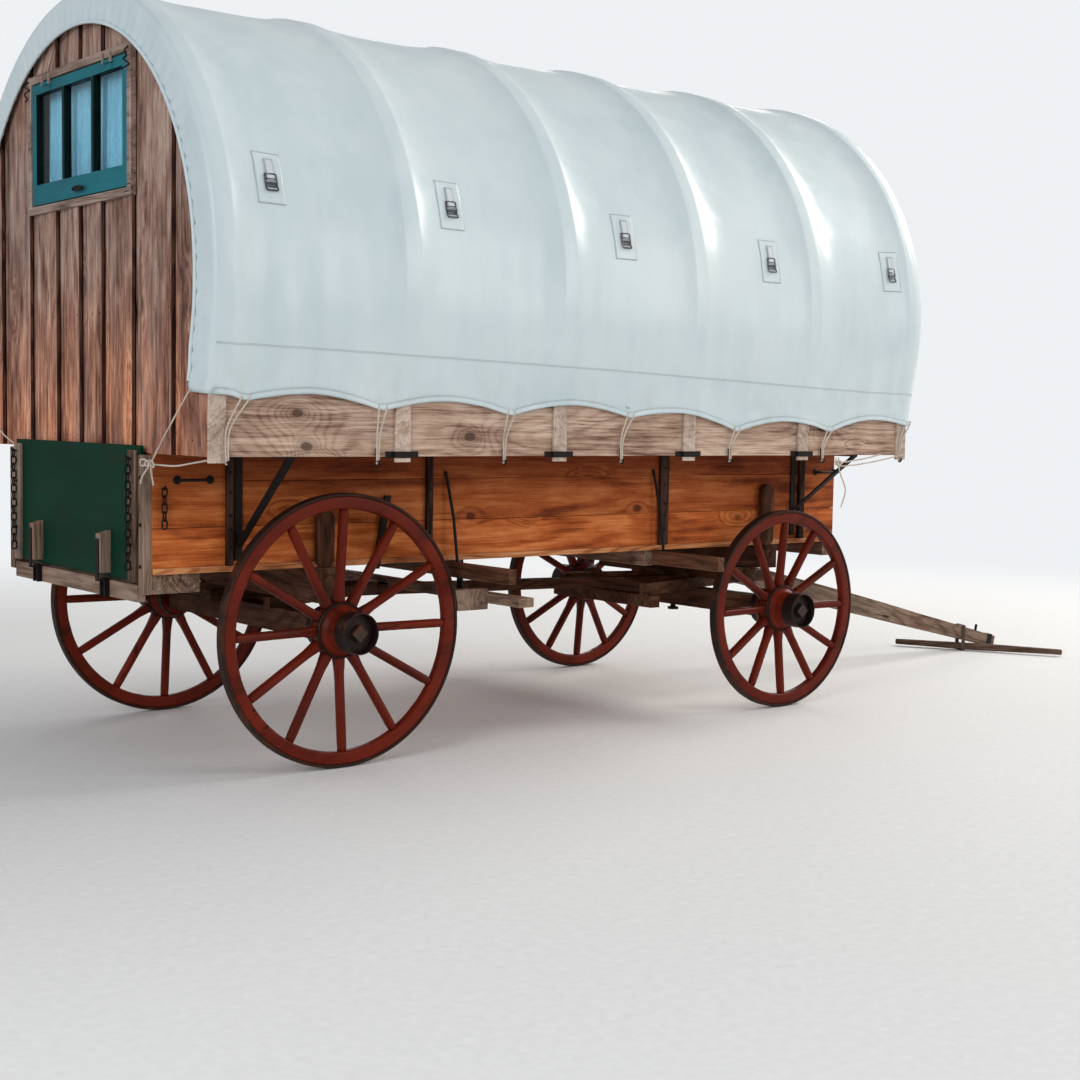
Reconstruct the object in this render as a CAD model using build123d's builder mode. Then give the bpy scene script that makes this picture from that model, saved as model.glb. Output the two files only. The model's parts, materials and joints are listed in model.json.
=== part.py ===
from build123d import *
from math import acos, asin, atan, atan2, cos, degrees, hypot, pi, radians, sin
import os

# Covered wagon: a plank box with benches over the wheels, a canvas cover on six hoops, and its running gear.
# Millimetres. +X runs forward along the tongue, +Z is up, and the centre line is Y = 0.
# The origin is on the ground under the middle of the whole wagon.

os.makedirs("parts", exist_ok=True)

# Running gear
wheelbase = 2596.0
rear_wheel_radius = 559.0
front_wheel_radius = 495.0
wheel_face = 823.0
tyre_width = 45.0
tyre_thickness = 13.0
felloe_depth = 52.0
felloe_width = 42.0
spoke_count = 12
spoke_dish = 33.0
spoke_hub_width = 38.0
spoke_hub_depth = 46.0
spoke_rim_width = 30.0
spoke_rim_depth = 33.0
spoke_chamfer = 9.0
spoke_embed = 10.0
felloe_sides = 48
nave_flange_radius = 113.0
nave_nose_radius = 79.0
nave_tail_radius = 84.0
nave_flange_width = 62.0
nave_nose_slope = 30.0
nave_nose_length = 138.0
nave_end_gap = 6.0
hub_band_thickness = 6.0
hub_band_length = 70.0
hub_tail_band_length = 34.0
nave_sides = 24
hub_recess = 33.0
axle_arm_radius = 26.0
axle_nut_width = 50.0
axle_nut_thickness = 24.0
nut_sides = 6
axle_beam_depth = 100.0
axle_beam_width = 100.0
axle_beam_half = 650.0
pin_clearance = 0.05
seat_gap = 0.2
working_gap = 5.0

# Bolsters, reach, hounds and steering
bolster_width = 90.0
bolster_half = 704.0
stake_width = 80.0
rear_stake_top = 1040.0
front_stake_top = 1116.0
stake_chamfer = 22.0
stake_set_back = 20.0
reach_width = 70.0
reach_height = 50.0
reach_tail = 190.0
reach_flat = 120.0
reach_hole_radius = 9.0
reach_hole_behind = 130.0
rear_hound_spread = 330.0
rear_hound_width = 50.0
rear_hound_length = 650.0
rear_hound_landing = 110.0
kingpin_radius = 14.0
kingpin_head_radius = 30.0
kingpin_head_height = 14.0
kingpin_tail = 20.0
sand_board_half = 560.0
turn_plate_radius = 90.0
turn_plate_gap = 0.3
bolster_lift = 8.0
front_bolster_height = 116.0
hound_height = 60.0
hound_width = 50.0
hound_tail = 520.0
hound_tail_spread = 300.0
hound_axle_spread = 150.0
hound_nose = 600.0
hound_straight = 430.0
sway_bar_depth = 60.0
sway_bar_width = 60.0
sway_bar_half = 335.0

# Tongue and neck yoke
tongue_pivot_ahead = 524.0
tongue_length = 2370.0
tongue_tail = 70.0
tongue_plain_length = 900.0
tongue_width = 90.0
tongue_height = 108.0
tongue_tip_width = 58.0
tongue_tip_height = 70.0
tongue_side_gap = 6.0
tongue_pin_radius = 12.0
tongue_pin_head = 12.0
hammer_hole_radius = 11.0
hammer_hole_ahead = 640.0
tip_band_thickness = 4.0
tip_band_width = 46.0
tip_band_back = 34.0
tip_pin_radius = 8.0
tip_pin_back = 175.0
tip_pin_height = 42.0
yoke_length = 1030.0
yoke_radius = 23.0
yoke_end_radius = 17.0
yoke_skew = 29.0
yoke_back = 270.0
yoke_side = -95.0
yoke_sides = 12
yoke_loop_width = 24.0
yoke_loop_thickness = 4.0
yoke_loop_half = 52.0
yoke_loop_rise = 9.0

# Brake
brake_beam_ahead = 720.0
brake_beam_width = 80.0
brake_beam_height = 40.0
brake_beam_half = 1040.0
brake_beam_z = 630.0
brake_shoe_height = 90.0
reach_notch = 20.0
brake_shoe_gap = 6.0
brake_hanger_half = 560.0
brake_hanger_width = 40.0
brake_hanger_thickness = 8.0
brake_lever_ahead = 236.0
brake_lever_lean = 56.0
brake_lever_foot = 790.0
brake_lever_top = 1096.0
brake_lever_width = 32.0
brake_lever_thickness = 12.0

# Box
box_rear_overhang = 769.0
box_length = 3879.0
box_half = 662.0
box_bottom = 808.0
box_top = 1273.0
side_thickness = 22.0
floor_thickness = 22.0
board_gap = 2.0
low_board_height = 176.0
wide_board_height = 178.0
sill_strip_height = 24.0
sill_strip_thickness = 12.0
rib_thickness = 20.0
sill_height = 75.0
sill_half = 655.0
outrigger_inner = 600.0
outrigger_outer = 1105.0
outrigger_thickness = 38.0
outrigger_height = 65.0
brace_radius = 7.0
brace_top = 1195.0
brace_foot_out = 52.0
brace_knee_drop = 190.0
brace_knee_out = 36.0
bracket_bar = 8.0
bracket_width = 34.0
bracket_leg_bottom = 850.0

# Benches, side rails, hoops and cover
deck_thickness = 22.0
deck_inner = 560.0
rail_thickness = 38.0
rail_height = 235.0
hoop_thickness = 12.0
hoop_width = 70.0
hoop_tail = 22.0
hoop_knee_z = 1480.0
hoop_centre_z = 1925.0
hoop_radius = 1185.0
hoop_draw_in = 60.0
hoop_runs = 30
staple_reach = 36.0
staple_height = 25.0
staple_thickness = 5.0
cover_gap = 0.3
cover_thickness = 8.0
cover_bottom = 1432.0
cover_lip = 140.0

# End walls, window and doors
wall_board = 22.0
batten_thickness = 18.0
batten_width = 50.0
window_half = 470.0
window_low = 2290.0
window_high = 2805.0
casing_width = 32.0
casing_proud = 8.0
sash_gap = 6.0
sash_thickness = 34.0
sash_stile = 44.0
sash_top_rail = 42.0
sash_bottom_rail = 84.0
sash_mullion = 20.0
light_count = 3
glass_thickness = 4.0
sash_inset = 6.0
sash_knuckle_radius = 7.0
sash_hinge_radius = 4.0
sash_knuckle_half = 30.0
sash_knuckle_offset = 300.0
sash_hinge_drop = 9.0
sash_leaf_drop = 60.0
sash_leaf_thickness = 3.0
sash_ear_rise = 34.0
door_half = 320.0
door_head = 2600.0
door_split = 1700.0
door_gap = 6.0
door_thickness = 30.0
door_ledge_height = 90.0
door_ledge_thickness = 14.0
door_ledge_margin = 40.0
door_hinge_radius = 6.0
door_hinge_wall = 5.0
door_hinge_height = 60.0
door_hinge_inset = 130.0
door_hinge_out = 14.0
door_hinge_aside = 14.0
door_strap_length = 300.0
door_strap_thickness = 4.0
door_strap_height = 40.0

# Tailgate and its chains
gate_half = 612.0
gate_top = 1302.0
gate_bottom = 778.0
gate_board = 18.0
gate_gap = 5.0
gate_cleat_inner = 538.0
gate_cleat_outer = 602.0
gate_cleat_thickness = 16.0
gate_cleat_margin = 18.0
gate_stake_inner = 314.0
gate_stake_outer = 360.0
gate_stake_depth = 48.0
gate_stake_lift = 28.0
gate_stake_top = 962.0
gate_stake_slope = 14.0
gate_hinge_z = 766.0
gate_hinge_radius = 6.0
gate_knuckle_radius = 11.0
gate_knuckle_half = 15.0
gate_leaf_thickness = 5.0
gate_leaf_top = 930.0
ear_thickness = 8.0
ear_gap = 0.5
rear_bar_depth = 36.0
rear_bar_half = 604.0
rear_bar_low = 700.0
rear_bar_high = 766.0
corner_post_inner = 618.0
corner_post_thickness = 38.0
corner_post_bottom = 733.0
link_wire = 6.5
link_length = 44.0
link_width = 27.0
link_slack = 0.3
link_end_width = 18.0
hook_radius = 4.0
side_chain_inset = 45.0

# Values worked out from the ones above
tongue_pivot_z = front_wheel_radius + axle_beam_depth / 2 + hound_height / 2
tongue_slope = (asin(tongue_pivot_z / hypot(tongue_length, tongue_tip_height / 2))
                - atan(tongue_tip_height / 2 / tongue_length))
link_pitch = link_length - 2 * link_wire - link_slack
wall_overhang = box_rear_overhang + working_gap
rear_end = wall_overhang + gate_gap + gate_board + gate_cleat_thickness + link_width + seat_gap
tongue_front = (wheelbase + tongue_pivot_ahead + tongue_length * cos(tongue_slope)
                + tongue_tip_height / 2 * sin(tongue_slope))
rear_axle_x = (rear_end - tongue_front) / 2
front_axle_x = rear_axle_x + wheelbase
box_rear = rear_axle_x - box_rear_overhang
box_front = box_rear + box_length
box_inner = box_half - side_thickness
wall_rear = rear_axle_x - wall_overhang
wall_front = box_front
hoop_foot = hoop_radius - hoop_draw_in
rail_outer = hoop_foot - hoop_thickness
rail_inner = rail_outer - rail_thickness
rail_top = box_top + rail_height
floor_top = box_bottom + floor_thickness
tyre_middle = wheel_face - tyre_width / 2
nave_outer = tyre_middle + nave_nose_length - hub_recess
nave_inner = axle_beam_half + nave_end_gap
rear_axle_top = rear_wheel_radius + axle_beam_depth / 2
front_axle_top = front_wheel_radius + axle_beam_depth / 2
front_bolster_z = box_bottom - front_bolster_height
sand_board_z = front_axle_top + hound_height
sand_board_top = front_bolster_z - bolster_lift
sill_bottom = box_bottom - sill_height
gate_face = wall_rear - gate_gap
gate_back = gate_face - gate_board
stake_inner = box_half + sill_strip_thickness
bar_back = box_rear - rear_bar_depth
tongue_pivot_x = front_axle_x + tongue_pivot_ahead


def block(x_range, y_range, z_range, mode=Mode.ADD):
    """Add a plain timber, from its low and high corners, to the part being built."""
    middle = [(low + high) / 2 for low, high in (x_range, y_range, z_range)]
    with Locations(tuple(middle)):
        Box(x_range[1] - x_range[0], y_range[1] - y_range[0], z_range[1] - z_range[0], mode=mode)


def rod_y(x, y, z, radius, length, mode=Mode.ADD):
    """Add a round bar that lies across the wagon, centred on the point."""
    with Locations((x, y, z)):
        Cylinder(radius, length, rotation=(90, 0, 0), mode=mode)


def rod_z(x, y, z_range, radius, mode=Mode.ADD):
    """Add an upright round bar."""
    with Locations((x, y, (z_range[0] + z_range[1]) / 2)):
        Cylinder(radius, z_range[1] - z_range[0], mode=mode)


def save(built, name):
    """Label a finished piece and write its file."""
    built.part.label = name
    export_step(built.part, f"parts/{name}.step")


def arch_touch(grow):
    """Angle at which a straight leg runs tangent into the arch, once both are moved outwards by grow."""
    half = hoop_foot + grow
    rise = hoop_knee_z - hoop_centre_z
    return atan2(rise, half) + acos((hoop_radius + grow) / hypot(half, rise))


def hoop_outline(grow, bottom, reach):
    """Outline of a bent hoop's outer or inner face in short runs, with its corners at reach times the radius."""
    half = hoop_foot + grow
    radius = (hoop_radius + grow) * reach
    first = arch_touch(grow)
    step = (pi - 2 * first) / hoop_runs
    turns = [first + index * step for index in range(hoop_runs + 1)]
    arch = [(radius * cos(turn), hoop_centre_z + radius * sin(turn)) for turn in turns]
    with BuildSketch() as outline:
        with BuildLine():
            Polyline(*arch, (-half, hoop_knee_z), (-half, bottom), (half, bottom), (half, hoop_knee_z), close=True)
        make_face()
    return outline.sketch


def hoop_face(grow, bottom):
    """Closed outline of the hoops' outer face, moved outwards by grow and cut level at bottom."""
    half = hoop_foot + grow
    radius = hoop_radius + grow
    turn = arch_touch(grow)
    touch = (radius * cos(turn), hoop_centre_z + radius * sin(turn))
    with BuildSketch() as outline:
        with BuildLine():
            Polyline((-touch[0], touch[1]), (-half, hoop_knee_z), (-half, bottom),
                     (half, bottom), (half, hoop_knee_z), touch)
            ThreePointArc(touch, (0, hoop_centre_z + radius), (-touch[0], touch[1]))
        make_face()
    return outline.sketch


# Wheels
# Each wheel is built about Z, with Z = 0 in the middle of its tyre and +Z pointing outboard.

nave_low = nave_inner - tyre_middle
nave_high = nave_outer - tyre_middle
flange_low = -spoke_dish - nave_flange_width / 2
flange_high = -spoke_dish + nave_flange_width / 2
# Columns: where each stage of the nave starts and ends, its radius there, its radius at the end
nave_stages = (
    (nave_low, flange_low, nave_tail_radius, nave_tail_radius),
    (flange_low, nave_low + hub_tail_band_length, nave_flange_radius, nave_tail_radius),
    (flange_low, flange_high, nave_flange_radius, nave_flange_radius),
    (flange_high, flange_high + nave_nose_slope, nave_flange_radius, nave_nose_radius),
    (flange_high, nave_high, nave_nose_radius, nave_nose_radius),
)


def spoke(felloe_inner):
    """One tapered spoke along +X, leaning outboard from the nave to the felloes."""
    hub_station = nave_flange_radius - spoke_embed
    rim_station = felloe_inner + spoke_embed
    with BuildPart() as one:
        with BuildSketch(Plane.XZ):
            with BuildLine():
                Polyline((hub_station, -spoke_dish - spoke_hub_depth / 2), (rim_station, -spoke_rim_depth / 2),
                         (rim_station, spoke_rim_depth / 2), (hub_station, -spoke_dish + spoke_hub_depth / 2),
                         close=True)
            make_face()
        extrude(amount=spoke_hub_width, both=True)
        with BuildSketch(Plane.XY):
            with BuildLine():
                Polyline((hub_station, -spoke_hub_width / 2), (rim_station, -spoke_rim_width / 2),
                         (rim_station, spoke_rim_width / 2), (hub_station, spoke_hub_width / 2), close=True)
            make_face()
        extrude(amount=2 * spoke_dish + spoke_hub_depth, both=True, mode=Mode.INTERSECT)
        chamfer(one.edges().sort_by(SortBy.LENGTH)[-4:], spoke_chamfer)
    return one.part


def wheel_wood(radius):
    """Nave, spokes and felloes of one wheel, with the bore for the axle arm."""
    felloe_outer = radius - tyre_thickness
    felloe_inner = felloe_outer - felloe_depth
    one_spoke = spoke(felloe_inner)
    with BuildPart() as wood:
        with BuildSketch(Plane.XY):
            RegularPolygon(felloe_outer, felloe_sides, rotation=180 / felloe_sides)
            RegularPolygon(felloe_inner, felloe_sides, rotation=180 / felloe_sides, mode=Mode.SUBTRACT)
        extrude(amount=felloe_width / 2, both=True)
        with PolarLocations(0, spoke_count):
            add(one_spoke)
        for low, high, nave_radius, end_radius in nave_stages:
            with BuildSketch(Plane.XY.offset(low)):
                RegularPolygon(nave_radius, nave_sides, major_radius=False)
            extrude(amount=high - low, taper=degrees(atan2(nave_radius - end_radius, abs(high - low))))
        Cylinder(axle_arm_radius + pin_clearance, 4 * nave_nose_length, mode=Mode.SUBTRACT)
    return wood.part


def wheel_tyre(radius):
    """Iron tyre, shrunk on over the felloes."""
    with BuildPart() as tyre:
        with BuildSketch(Plane.XZ):
            with Locations((radius - tyre_thickness / 2, 0)):
                Rectangle(tyre_thickness, tyre_width)
        revolve(axis=Axis.Z)
    return tyre.part


def hub_bands():
    """Iron bands round the nose and the tail of the nave."""
    nose_top = nave_high + hub_recess
    nose_inner = nave_nose_radius + seat_gap
    tail_inner = nave_tail_radius + seat_gap
    with BuildPart() as bands:
        for low, length, inner in ((nose_top - hub_band_length, hub_band_length, nose_inner),
                                   (nave_low, hub_tail_band_length, tail_inner)):
            with BuildSketch(Plane.XY.offset(low)):
                RegularPolygon(inner + hub_band_thickness, nave_sides, major_radius=False)
                RegularPolygon(inner, nave_sides, major_radius=False, mode=Mode.SUBTRACT)
            extrude(amount=length)
    return bands.part


# Columns: name, axle place, radius, side
wheel_table = (
    ("rear_left", rear_axle_x, rear_wheel_radius, 1),
    ("rear_right", rear_axle_x, rear_wheel_radius, -1),
    ("front_left", front_axle_x, front_wheel_radius, 1),
    ("front_right", front_axle_x, front_wheel_radius, -1),
)
bands_template = hub_bands()
for corner, axle_x, wheel_radius, side in wheel_table:
    wheel_place = Plane(origin=(axle_x, side * tyre_middle, wheel_radius), x_dir=(1, 0, 0), z_dir=(0, side, 0))
    wood_template = wheel_wood(wheel_radius)
    tyre_template = wheel_tyre(wheel_radius)
    with BuildPart() as wheel:
        with Locations(wheel_place):
            add(wood_template)
    save(wheel, f"{corner}_wheel")
    with BuildPart() as tyre:
        with Locations(wheel_place):
            add(tyre_template)
    save(tyre, f"{corner}_tyre")
    with BuildPart() as bands:
        with Locations(wheel_place):
            add(bands_template)
    save(bands, f"{corner}_hub_bands")

# Axles, with round arms and square nuts
nut_inner = nave_outer + working_gap
nut_outer = nut_inner + axle_nut_thickness


def axle(axle_x, radius):
    """Timber axle beam with the arms that the wheels turn on."""
    with BuildPart() as beam:
        block((axle_x - axle_beam_width / 2, axle_x + axle_beam_width / 2), (-axle_beam_half, axle_beam_half),
              (radius - axle_beam_depth / 2, radius + axle_beam_depth / 2))
        rod_y(axle_x, 0, radius, axle_arm_radius, 2 * nut_inner)
        for side in (-1, 1):
            with Locations((axle_x, side * (nut_inner + nut_outer) / 2, radius)):
                Box(axle_nut_width, axle_nut_thickness, axle_nut_width)
    return beam.part


with BuildPart() as rear_axle:
    add(axle(rear_axle_x, rear_wheel_radius))
save(rear_axle, "rear_axle")

with BuildPart() as front_axle:
    add(axle(front_axle_x, front_wheel_radius))
    rod_z(front_axle_x, 0, (0, box_bottom), kingpin_radius + pin_clearance, mode=Mode.SUBTRACT)
save(front_axle, "front_axle")

# Bolsters carry the box, and the stakes at their ends keep it from sliding off
with BuildPart() as rear_bolster:
    block((rear_axle_x - bolster_width / 2, rear_axle_x + bolster_width / 2), (-bolster_half, bolster_half),
          (rear_axle_top + reach_height, box_bottom))
save(rear_bolster, "rear_bolster")

with BuildPart() as front_bolster:
    block((front_axle_x - bolster_width / 2, front_axle_x + bolster_width / 2), (-bolster_half, bolster_half),
          (front_bolster_z, box_bottom))
    rod_z(front_axle_x, 0, (0, box_bottom), kingpin_radius + pin_clearance, mode=Mode.SUBTRACT)
save(front_bolster, "front_bolster")

with BuildPart() as bolster_stakes:
    for axle_x, stake_top in ((rear_axle_x, rear_stake_top), (front_axle_x, front_stake_top)):
        stake_x = axle_x - stake_set_back
        with BuildSketch(Plane.XZ.offset(-bolster_half)) as stake_side:
            with Locations((stake_x, (box_bottom + stake_top) / 2)):
                Rectangle(stake_width, stake_top - box_bottom)
            chamfer(stake_side.vertices().group_by(Axis.Z)[-1], stake_chamfer)
        extrude(amount=bolster_half - stake_inner)
    mirror(about=Plane.XZ)
save(bolster_stakes, "bolster_stakes")

# Reach: the pole that joins the two axles, lying lower at the front
reach_front_z = front_axle_top + working_gap
with BuildPart() as reach:
    with BuildSketch(Plane.XZ):
        with BuildLine():
            Polyline((rear_axle_x - reach_tail, rear_axle_top),
                     (rear_axle_x + reach_flat, rear_axle_top),
                     (front_axle_x - reach_flat, reach_front_z),
                     (front_axle_x + bolster_width / 2, reach_front_z),
                     (front_axle_x + bolster_width / 2, reach_front_z + reach_height),
                     (front_axle_x - reach_flat, reach_front_z + reach_height),
                     (rear_axle_x + reach_flat, rear_axle_top + reach_height),
                     (rear_axle_x - reach_tail, rear_axle_top + reach_height), close=True)
        make_face()
    extrude(amount=reach_width / 2, both=True)
    rod_z(front_axle_x, 0, (0, box_bottom), kingpin_radius + pin_clearance, mode=Mode.SUBTRACT)
    rod_z(rear_axle_x - reach_hole_behind, 0, (0, box_bottom), reach_hole_radius, mode=Mode.SUBTRACT)
save(reach, "reach")

# Rear hounds brace the rear axle to the reach
with BuildPart() as rear_hounds:
    with BuildSketch(Plane.XY.offset(rear_axle_top)):
        with BuildLine():
            hound_back = rear_axle_x - axle_beam_width
            hound_tip = rear_axle_x + rear_hound_length
            Polyline((hound_back, rear_hound_spread), (hound_back, rear_hound_spread + rear_hound_width),
                     (hound_tip, reach_width / 2 + rear_hound_width / 2), (hound_tip, reach_width / 2),
                     (hound_tip - rear_hound_landing, reach_width / 2), close=True)
        make_face()
    extrude(amount=reach_height)
    mirror(about=Plane.XZ)
save(rear_hounds, "rear_hounds")

# Steering gear: the front hounds lie on the axle, under the sand board, and carry the tongue
hound_nose_y = tongue_width / 2 + tongue_side_gap
hound_tail_x = front_axle_x - hound_tail
with BuildPart() as front_hounds:
    with BuildSketch(Plane.XY.offset(front_axle_top)):
        with BuildLine():
            Polyline((hound_tail_x, hound_tail_spread), (front_axle_x, hound_axle_spread),
                     (front_axle_x + hound_straight, hound_nose_y),
                     (front_axle_x + hound_nose, hound_nose_y),
                     (front_axle_x + hound_nose, hound_nose_y + hound_width),
                     (front_axle_x + hound_straight, hound_nose_y + hound_width),
                     (front_axle_x, hound_axle_spread + hound_width),
                     (hound_tail_x, hound_tail_spread + hound_width), close=True)
        make_face()
    extrude(amount=hound_height)
    mirror(about=Plane.XZ)
    block((hound_tail_x, hound_tail_x + sway_bar_width), (-sway_bar_half - hound_width, sway_bar_half + hound_width),
          (front_axle_top - sway_bar_depth, front_axle_top))
    rod_y(tongue_pivot_x, 0, tongue_pivot_z, tongue_pin_radius + pin_clearance, 4 * hound_nose_y, mode=Mode.SUBTRACT)
save(front_hounds, "front_hounds")

with BuildPart() as sand_board:
    block((front_axle_x - axle_beam_width / 2, front_axle_x + axle_beam_width / 2), (-sand_board_half, sand_board_half),
          (sand_board_z, sand_board_top))
    rod_z(front_axle_x, 0, (sand_board_top, front_bolster_z - turn_plate_gap), turn_plate_radius)
    rod_z(front_axle_x, 0, (0, box_bottom), kingpin_radius + pin_clearance, mode=Mode.SUBTRACT)
save(sand_board, "sand_board")

with BuildPart() as kingpin:
    kingpin_low = front_wheel_radius - axle_beam_depth / 2 - kingpin_tail
    rod_z(front_axle_x, 0, (kingpin_low, box_bottom), kingpin_radius)
    with BuildSketch(Plane(origin=(front_axle_x, 0, kingpin_low))):
        RegularPolygon(kingpin_head_radius, nut_sides)
    extrude(amount=-kingpin_head_height)
save(kingpin, "kingpin")

# Tongue, hinged between the hounds and lying with its tip on the ground
tongue_along = (cos(tongue_slope), 0, -sin(tongue_slope))
tongue_up = (sin(tongue_slope), 0, cos(tongue_slope))
pivot = Vector(tongue_pivot_x, 0, tongue_pivot_z)
tongue_place = Plane(origin=pivot, x_dir=tongue_along, z_dir=tongue_up)


def tongue_station(distance):
    """Plane square to the tongue, at a distance ahead of its pivot."""
    return Plane(origin=pivot + Vector(*tongue_along) * distance, x_dir=(0, 1, 0), z_dir=tongue_along)


def tongue_size(distance):
    """Width and height of the tongue at a distance ahead of its pivot."""
    share = max(0.0, distance - tongue_plain_length) / (tongue_length - tongue_plain_length)
    width = tongue_width + share * (tongue_tip_width - tongue_width)
    height = tongue_height + share * (tongue_tip_height - tongue_height)
    return width, height


def tongue_taper(wide, narrow):
    """Half of one face of the tongue, as points along it: full size, then tapering to the tip."""
    return (-tongue_tail, wide / 2), (tongue_plain_length, wide / 2), (tongue_length, narrow / 2)


with BuildPart() as tongue:
    tongue_side = Plane(origin=pivot, x_dir=tongue_along, z_dir=(0, -1, 0))
    for plane, wide, narrow, mode in ((tongue_side, tongue_height, tongue_tip_height, Mode.ADD),
                                      (tongue_place, tongue_width, tongue_tip_width, Mode.INTERSECT)):
        with BuildSketch(plane):
            with BuildLine():
                upper = tongue_taper(wide, narrow)
                Polyline(*upper, *[(along, -across) for along, across in reversed(upper)], close=True)
            make_face()
        extrude(amount=tongue_height, both=True, mode=mode)
    rod_y(tongue_pivot_x, 0, tongue_pivot_z, tongue_pin_radius + pin_clearance, 4 * hound_nose_y, mode=Mode.SUBTRACT)
    with Locations(tongue_place):
        with Locations((hammer_hole_ahead, 0, 0)):
            Cylinder(hammer_hole_radius, 2 * tongue_height, mode=Mode.SUBTRACT)
        with Locations((tongue_length - tip_pin_back, 0, 0)):
            Cylinder(tip_pin_radius + pin_clearance, 2 * tongue_height, mode=Mode.SUBTRACT)
save(tongue, "tongue")

with BuildPart() as tongue_pin:
    pin_half = hound_nose_y + hound_width + tongue_pin_head
    rod_y(tongue_pivot_x, 0, tongue_pivot_z, tongue_pin_radius, 2 * pin_half)
    for side in (-1, 1):
        with BuildSketch(Plane(origin=(tongue_pivot_x, side * pin_half, tongue_pivot_z), x_dir=(1, 0, 0),
                               z_dir=(0, -side, 0))):
            RegularPolygon(2 * tongue_pin_radius, nut_sides)
        extrude(amount=tongue_pin_head)
save(tongue_pin, "tongue_pin")


with BuildPart() as tongue_irons:
    band_start = tongue_length - tip_band_back - tip_band_width
    inner_width, inner_height = tongue_size(band_start)
    with BuildSketch(tongue_station(band_start)):
        Rectangle(inner_width + 2 * seat_gap + 2 * tip_band_thickness,
                  inner_height + 2 * seat_gap + 2 * tip_band_thickness)
        Rectangle(inner_width + 2 * seat_gap, inner_height + 2 * seat_gap, mode=Mode.SUBTRACT)
    extrude(amount=tip_band_width)
    with Locations(tongue_place):
        tip_pin_half = tongue_size(tongue_length - tip_pin_back)[1] / 2
        with Locations((tongue_length - tip_pin_back, 0, tip_pin_height / 2)):
            Cylinder(tip_pin_radius, 2 * tip_pin_half + tip_pin_height)
save(tongue_irons, "tongue_irons")

# The neck yoke lies under the tongue and is strapped to it where they cross
yoke_turn = (cos(radians(yoke_skew)), sin(radians(yoke_skew)))
yoke_cross = abs(yoke_side) / yoke_turn[0]
cross_radius = (yoke_radius + (yoke_end_radius - yoke_radius) * yoke_cross / (yoke_length / 2)) * cos(pi / yoke_sides)
yoke_z = cross_radius + seat_gap + yoke_loop_thickness
yoke_x = rear_axle_x + tongue_front - yoke_back
with BuildPart() as neck_yoke:
    yoke_middle = Plane(origin=(yoke_x, yoke_side, yoke_z), x_dir=(0, 0, 1),
                        z_dir=(-yoke_turn[1], yoke_turn[0], 0))
    for direction in (-1, 1):
        with BuildSketch(yoke_middle):
            RegularPolygon(yoke_radius, yoke_sides, rotation=180 / yoke_sides)
        with BuildSketch(yoke_middle.offset(direction * yoke_length / 2)):
            RegularPolygon(yoke_end_radius, yoke_sides, rotation=180 / yoke_sides)
        loft(ruled=True)
save(neck_yoke, "neck_yoke")

with BuildPart() as yoke_strap:
    cross_x = yoke_x - yoke_cross * yoke_turn[1]
    cross_behind = (tongue_pivot_x + tongue_length * tongue_along[0] - cross_x) / tongue_along[0]
    cross_height = tongue_size(tongue_length - cross_behind)[1]
    cross_top = cross_behind * sin(tongue_slope) + tongue_tip_height / 2 * cos(tongue_slope) \
        + cross_height / 2 / cos(tongue_slope)
    strap_turn = radians(yoke_skew + 90) / 2
    strap_place = Plane(origin=(cross_x, 0, 0), x_dir=(cos(strap_turn), sin(strap_turn), 0),
                        z_dir=(sin(strap_turn), -cos(strap_turn), 0))
    with BuildSketch(strap_place.offset(-yoke_loop_width / 2)):
        with Locations((0, (cross_top + yoke_loop_rise + yoke_loop_thickness) / 2)):
            Rectangle(2 * yoke_loop_half, cross_top + yoke_loop_rise + yoke_loop_thickness)
            Rectangle(2 * (yoke_loop_half - yoke_loop_thickness), cross_top + yoke_loop_rise - yoke_loop_thickness,
                      mode=Mode.SUBTRACT)
    extrude(amount=yoke_loop_width)
save(yoke_strap, "yoke_strap")

# Brake beam ahead of the rear wheels, with a wooden shoe cut to each tyre
brake_beam_x = rear_axle_x + brake_beam_ahead
brake_beam_mid = brake_beam_z + brake_beam_height / 2
with BuildPart() as brake_beam:
    block((brake_beam_x, brake_beam_x + brake_beam_width), (-brake_beam_half, brake_beam_half),
          (brake_beam_z, brake_beam_z + brake_beam_height))
    for side in (-1, 1):
        with Locations(((rear_axle_x + brake_beam_x) / 2, side * tyre_middle, brake_beam_mid)):
            Box(brake_beam_ahead, tyre_width, brake_shoe_height)
    rod_y(rear_axle_x, 0, rear_wheel_radius, rear_wheel_radius + brake_shoe_gap, 2 * brake_beam_half,
          mode=Mode.SUBTRACT)
    block((rear_axle_x, brake_beam_x + brake_beam_width), (-reach_width / 2 - working_gap, reach_width / 2 + working_gap),
          (brake_beam_z, brake_beam_z + reach_notch), mode=Mode.SUBTRACT)
save(brake_beam, "brake_beam")

with BuildPart() as brake_irons:
    for side in (-1, 1):
        with Locations((brake_beam_x + brake_beam_width / 2, side * brake_hanger_half,
                        (brake_beam_z + brake_beam_height + box_bottom) / 2)):
            Box(brake_hanger_thickness, brake_hanger_width, box_bottom - brake_beam_z - brake_beam_height)
    with BuildSketch(Plane.XZ.offset(box_half + sill_strip_thickness)):
        with BuildLine():
            lever_x = rear_axle_x + brake_lever_ahead
            half = brake_lever_width / 2
            Polyline((lever_x - half, brake_lever_foot), (lever_x + half, brake_lever_foot),
                     (lever_x + brake_lever_lean + half, brake_lever_top),
                     (lever_x + brake_lever_lean - half, brake_lever_top), close=True)
        make_face()
    extrude(amount=brake_lever_thickness)
save(brake_irons, "brake_irons")

# Box: floor, boarded sides and front, and the sills that carry it
with BuildPart() as box_floor:
    block((box_rear, box_front), (-box_inner, box_inner), (box_bottom, floor_top))
save(box_floor, "box_floor")

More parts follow.
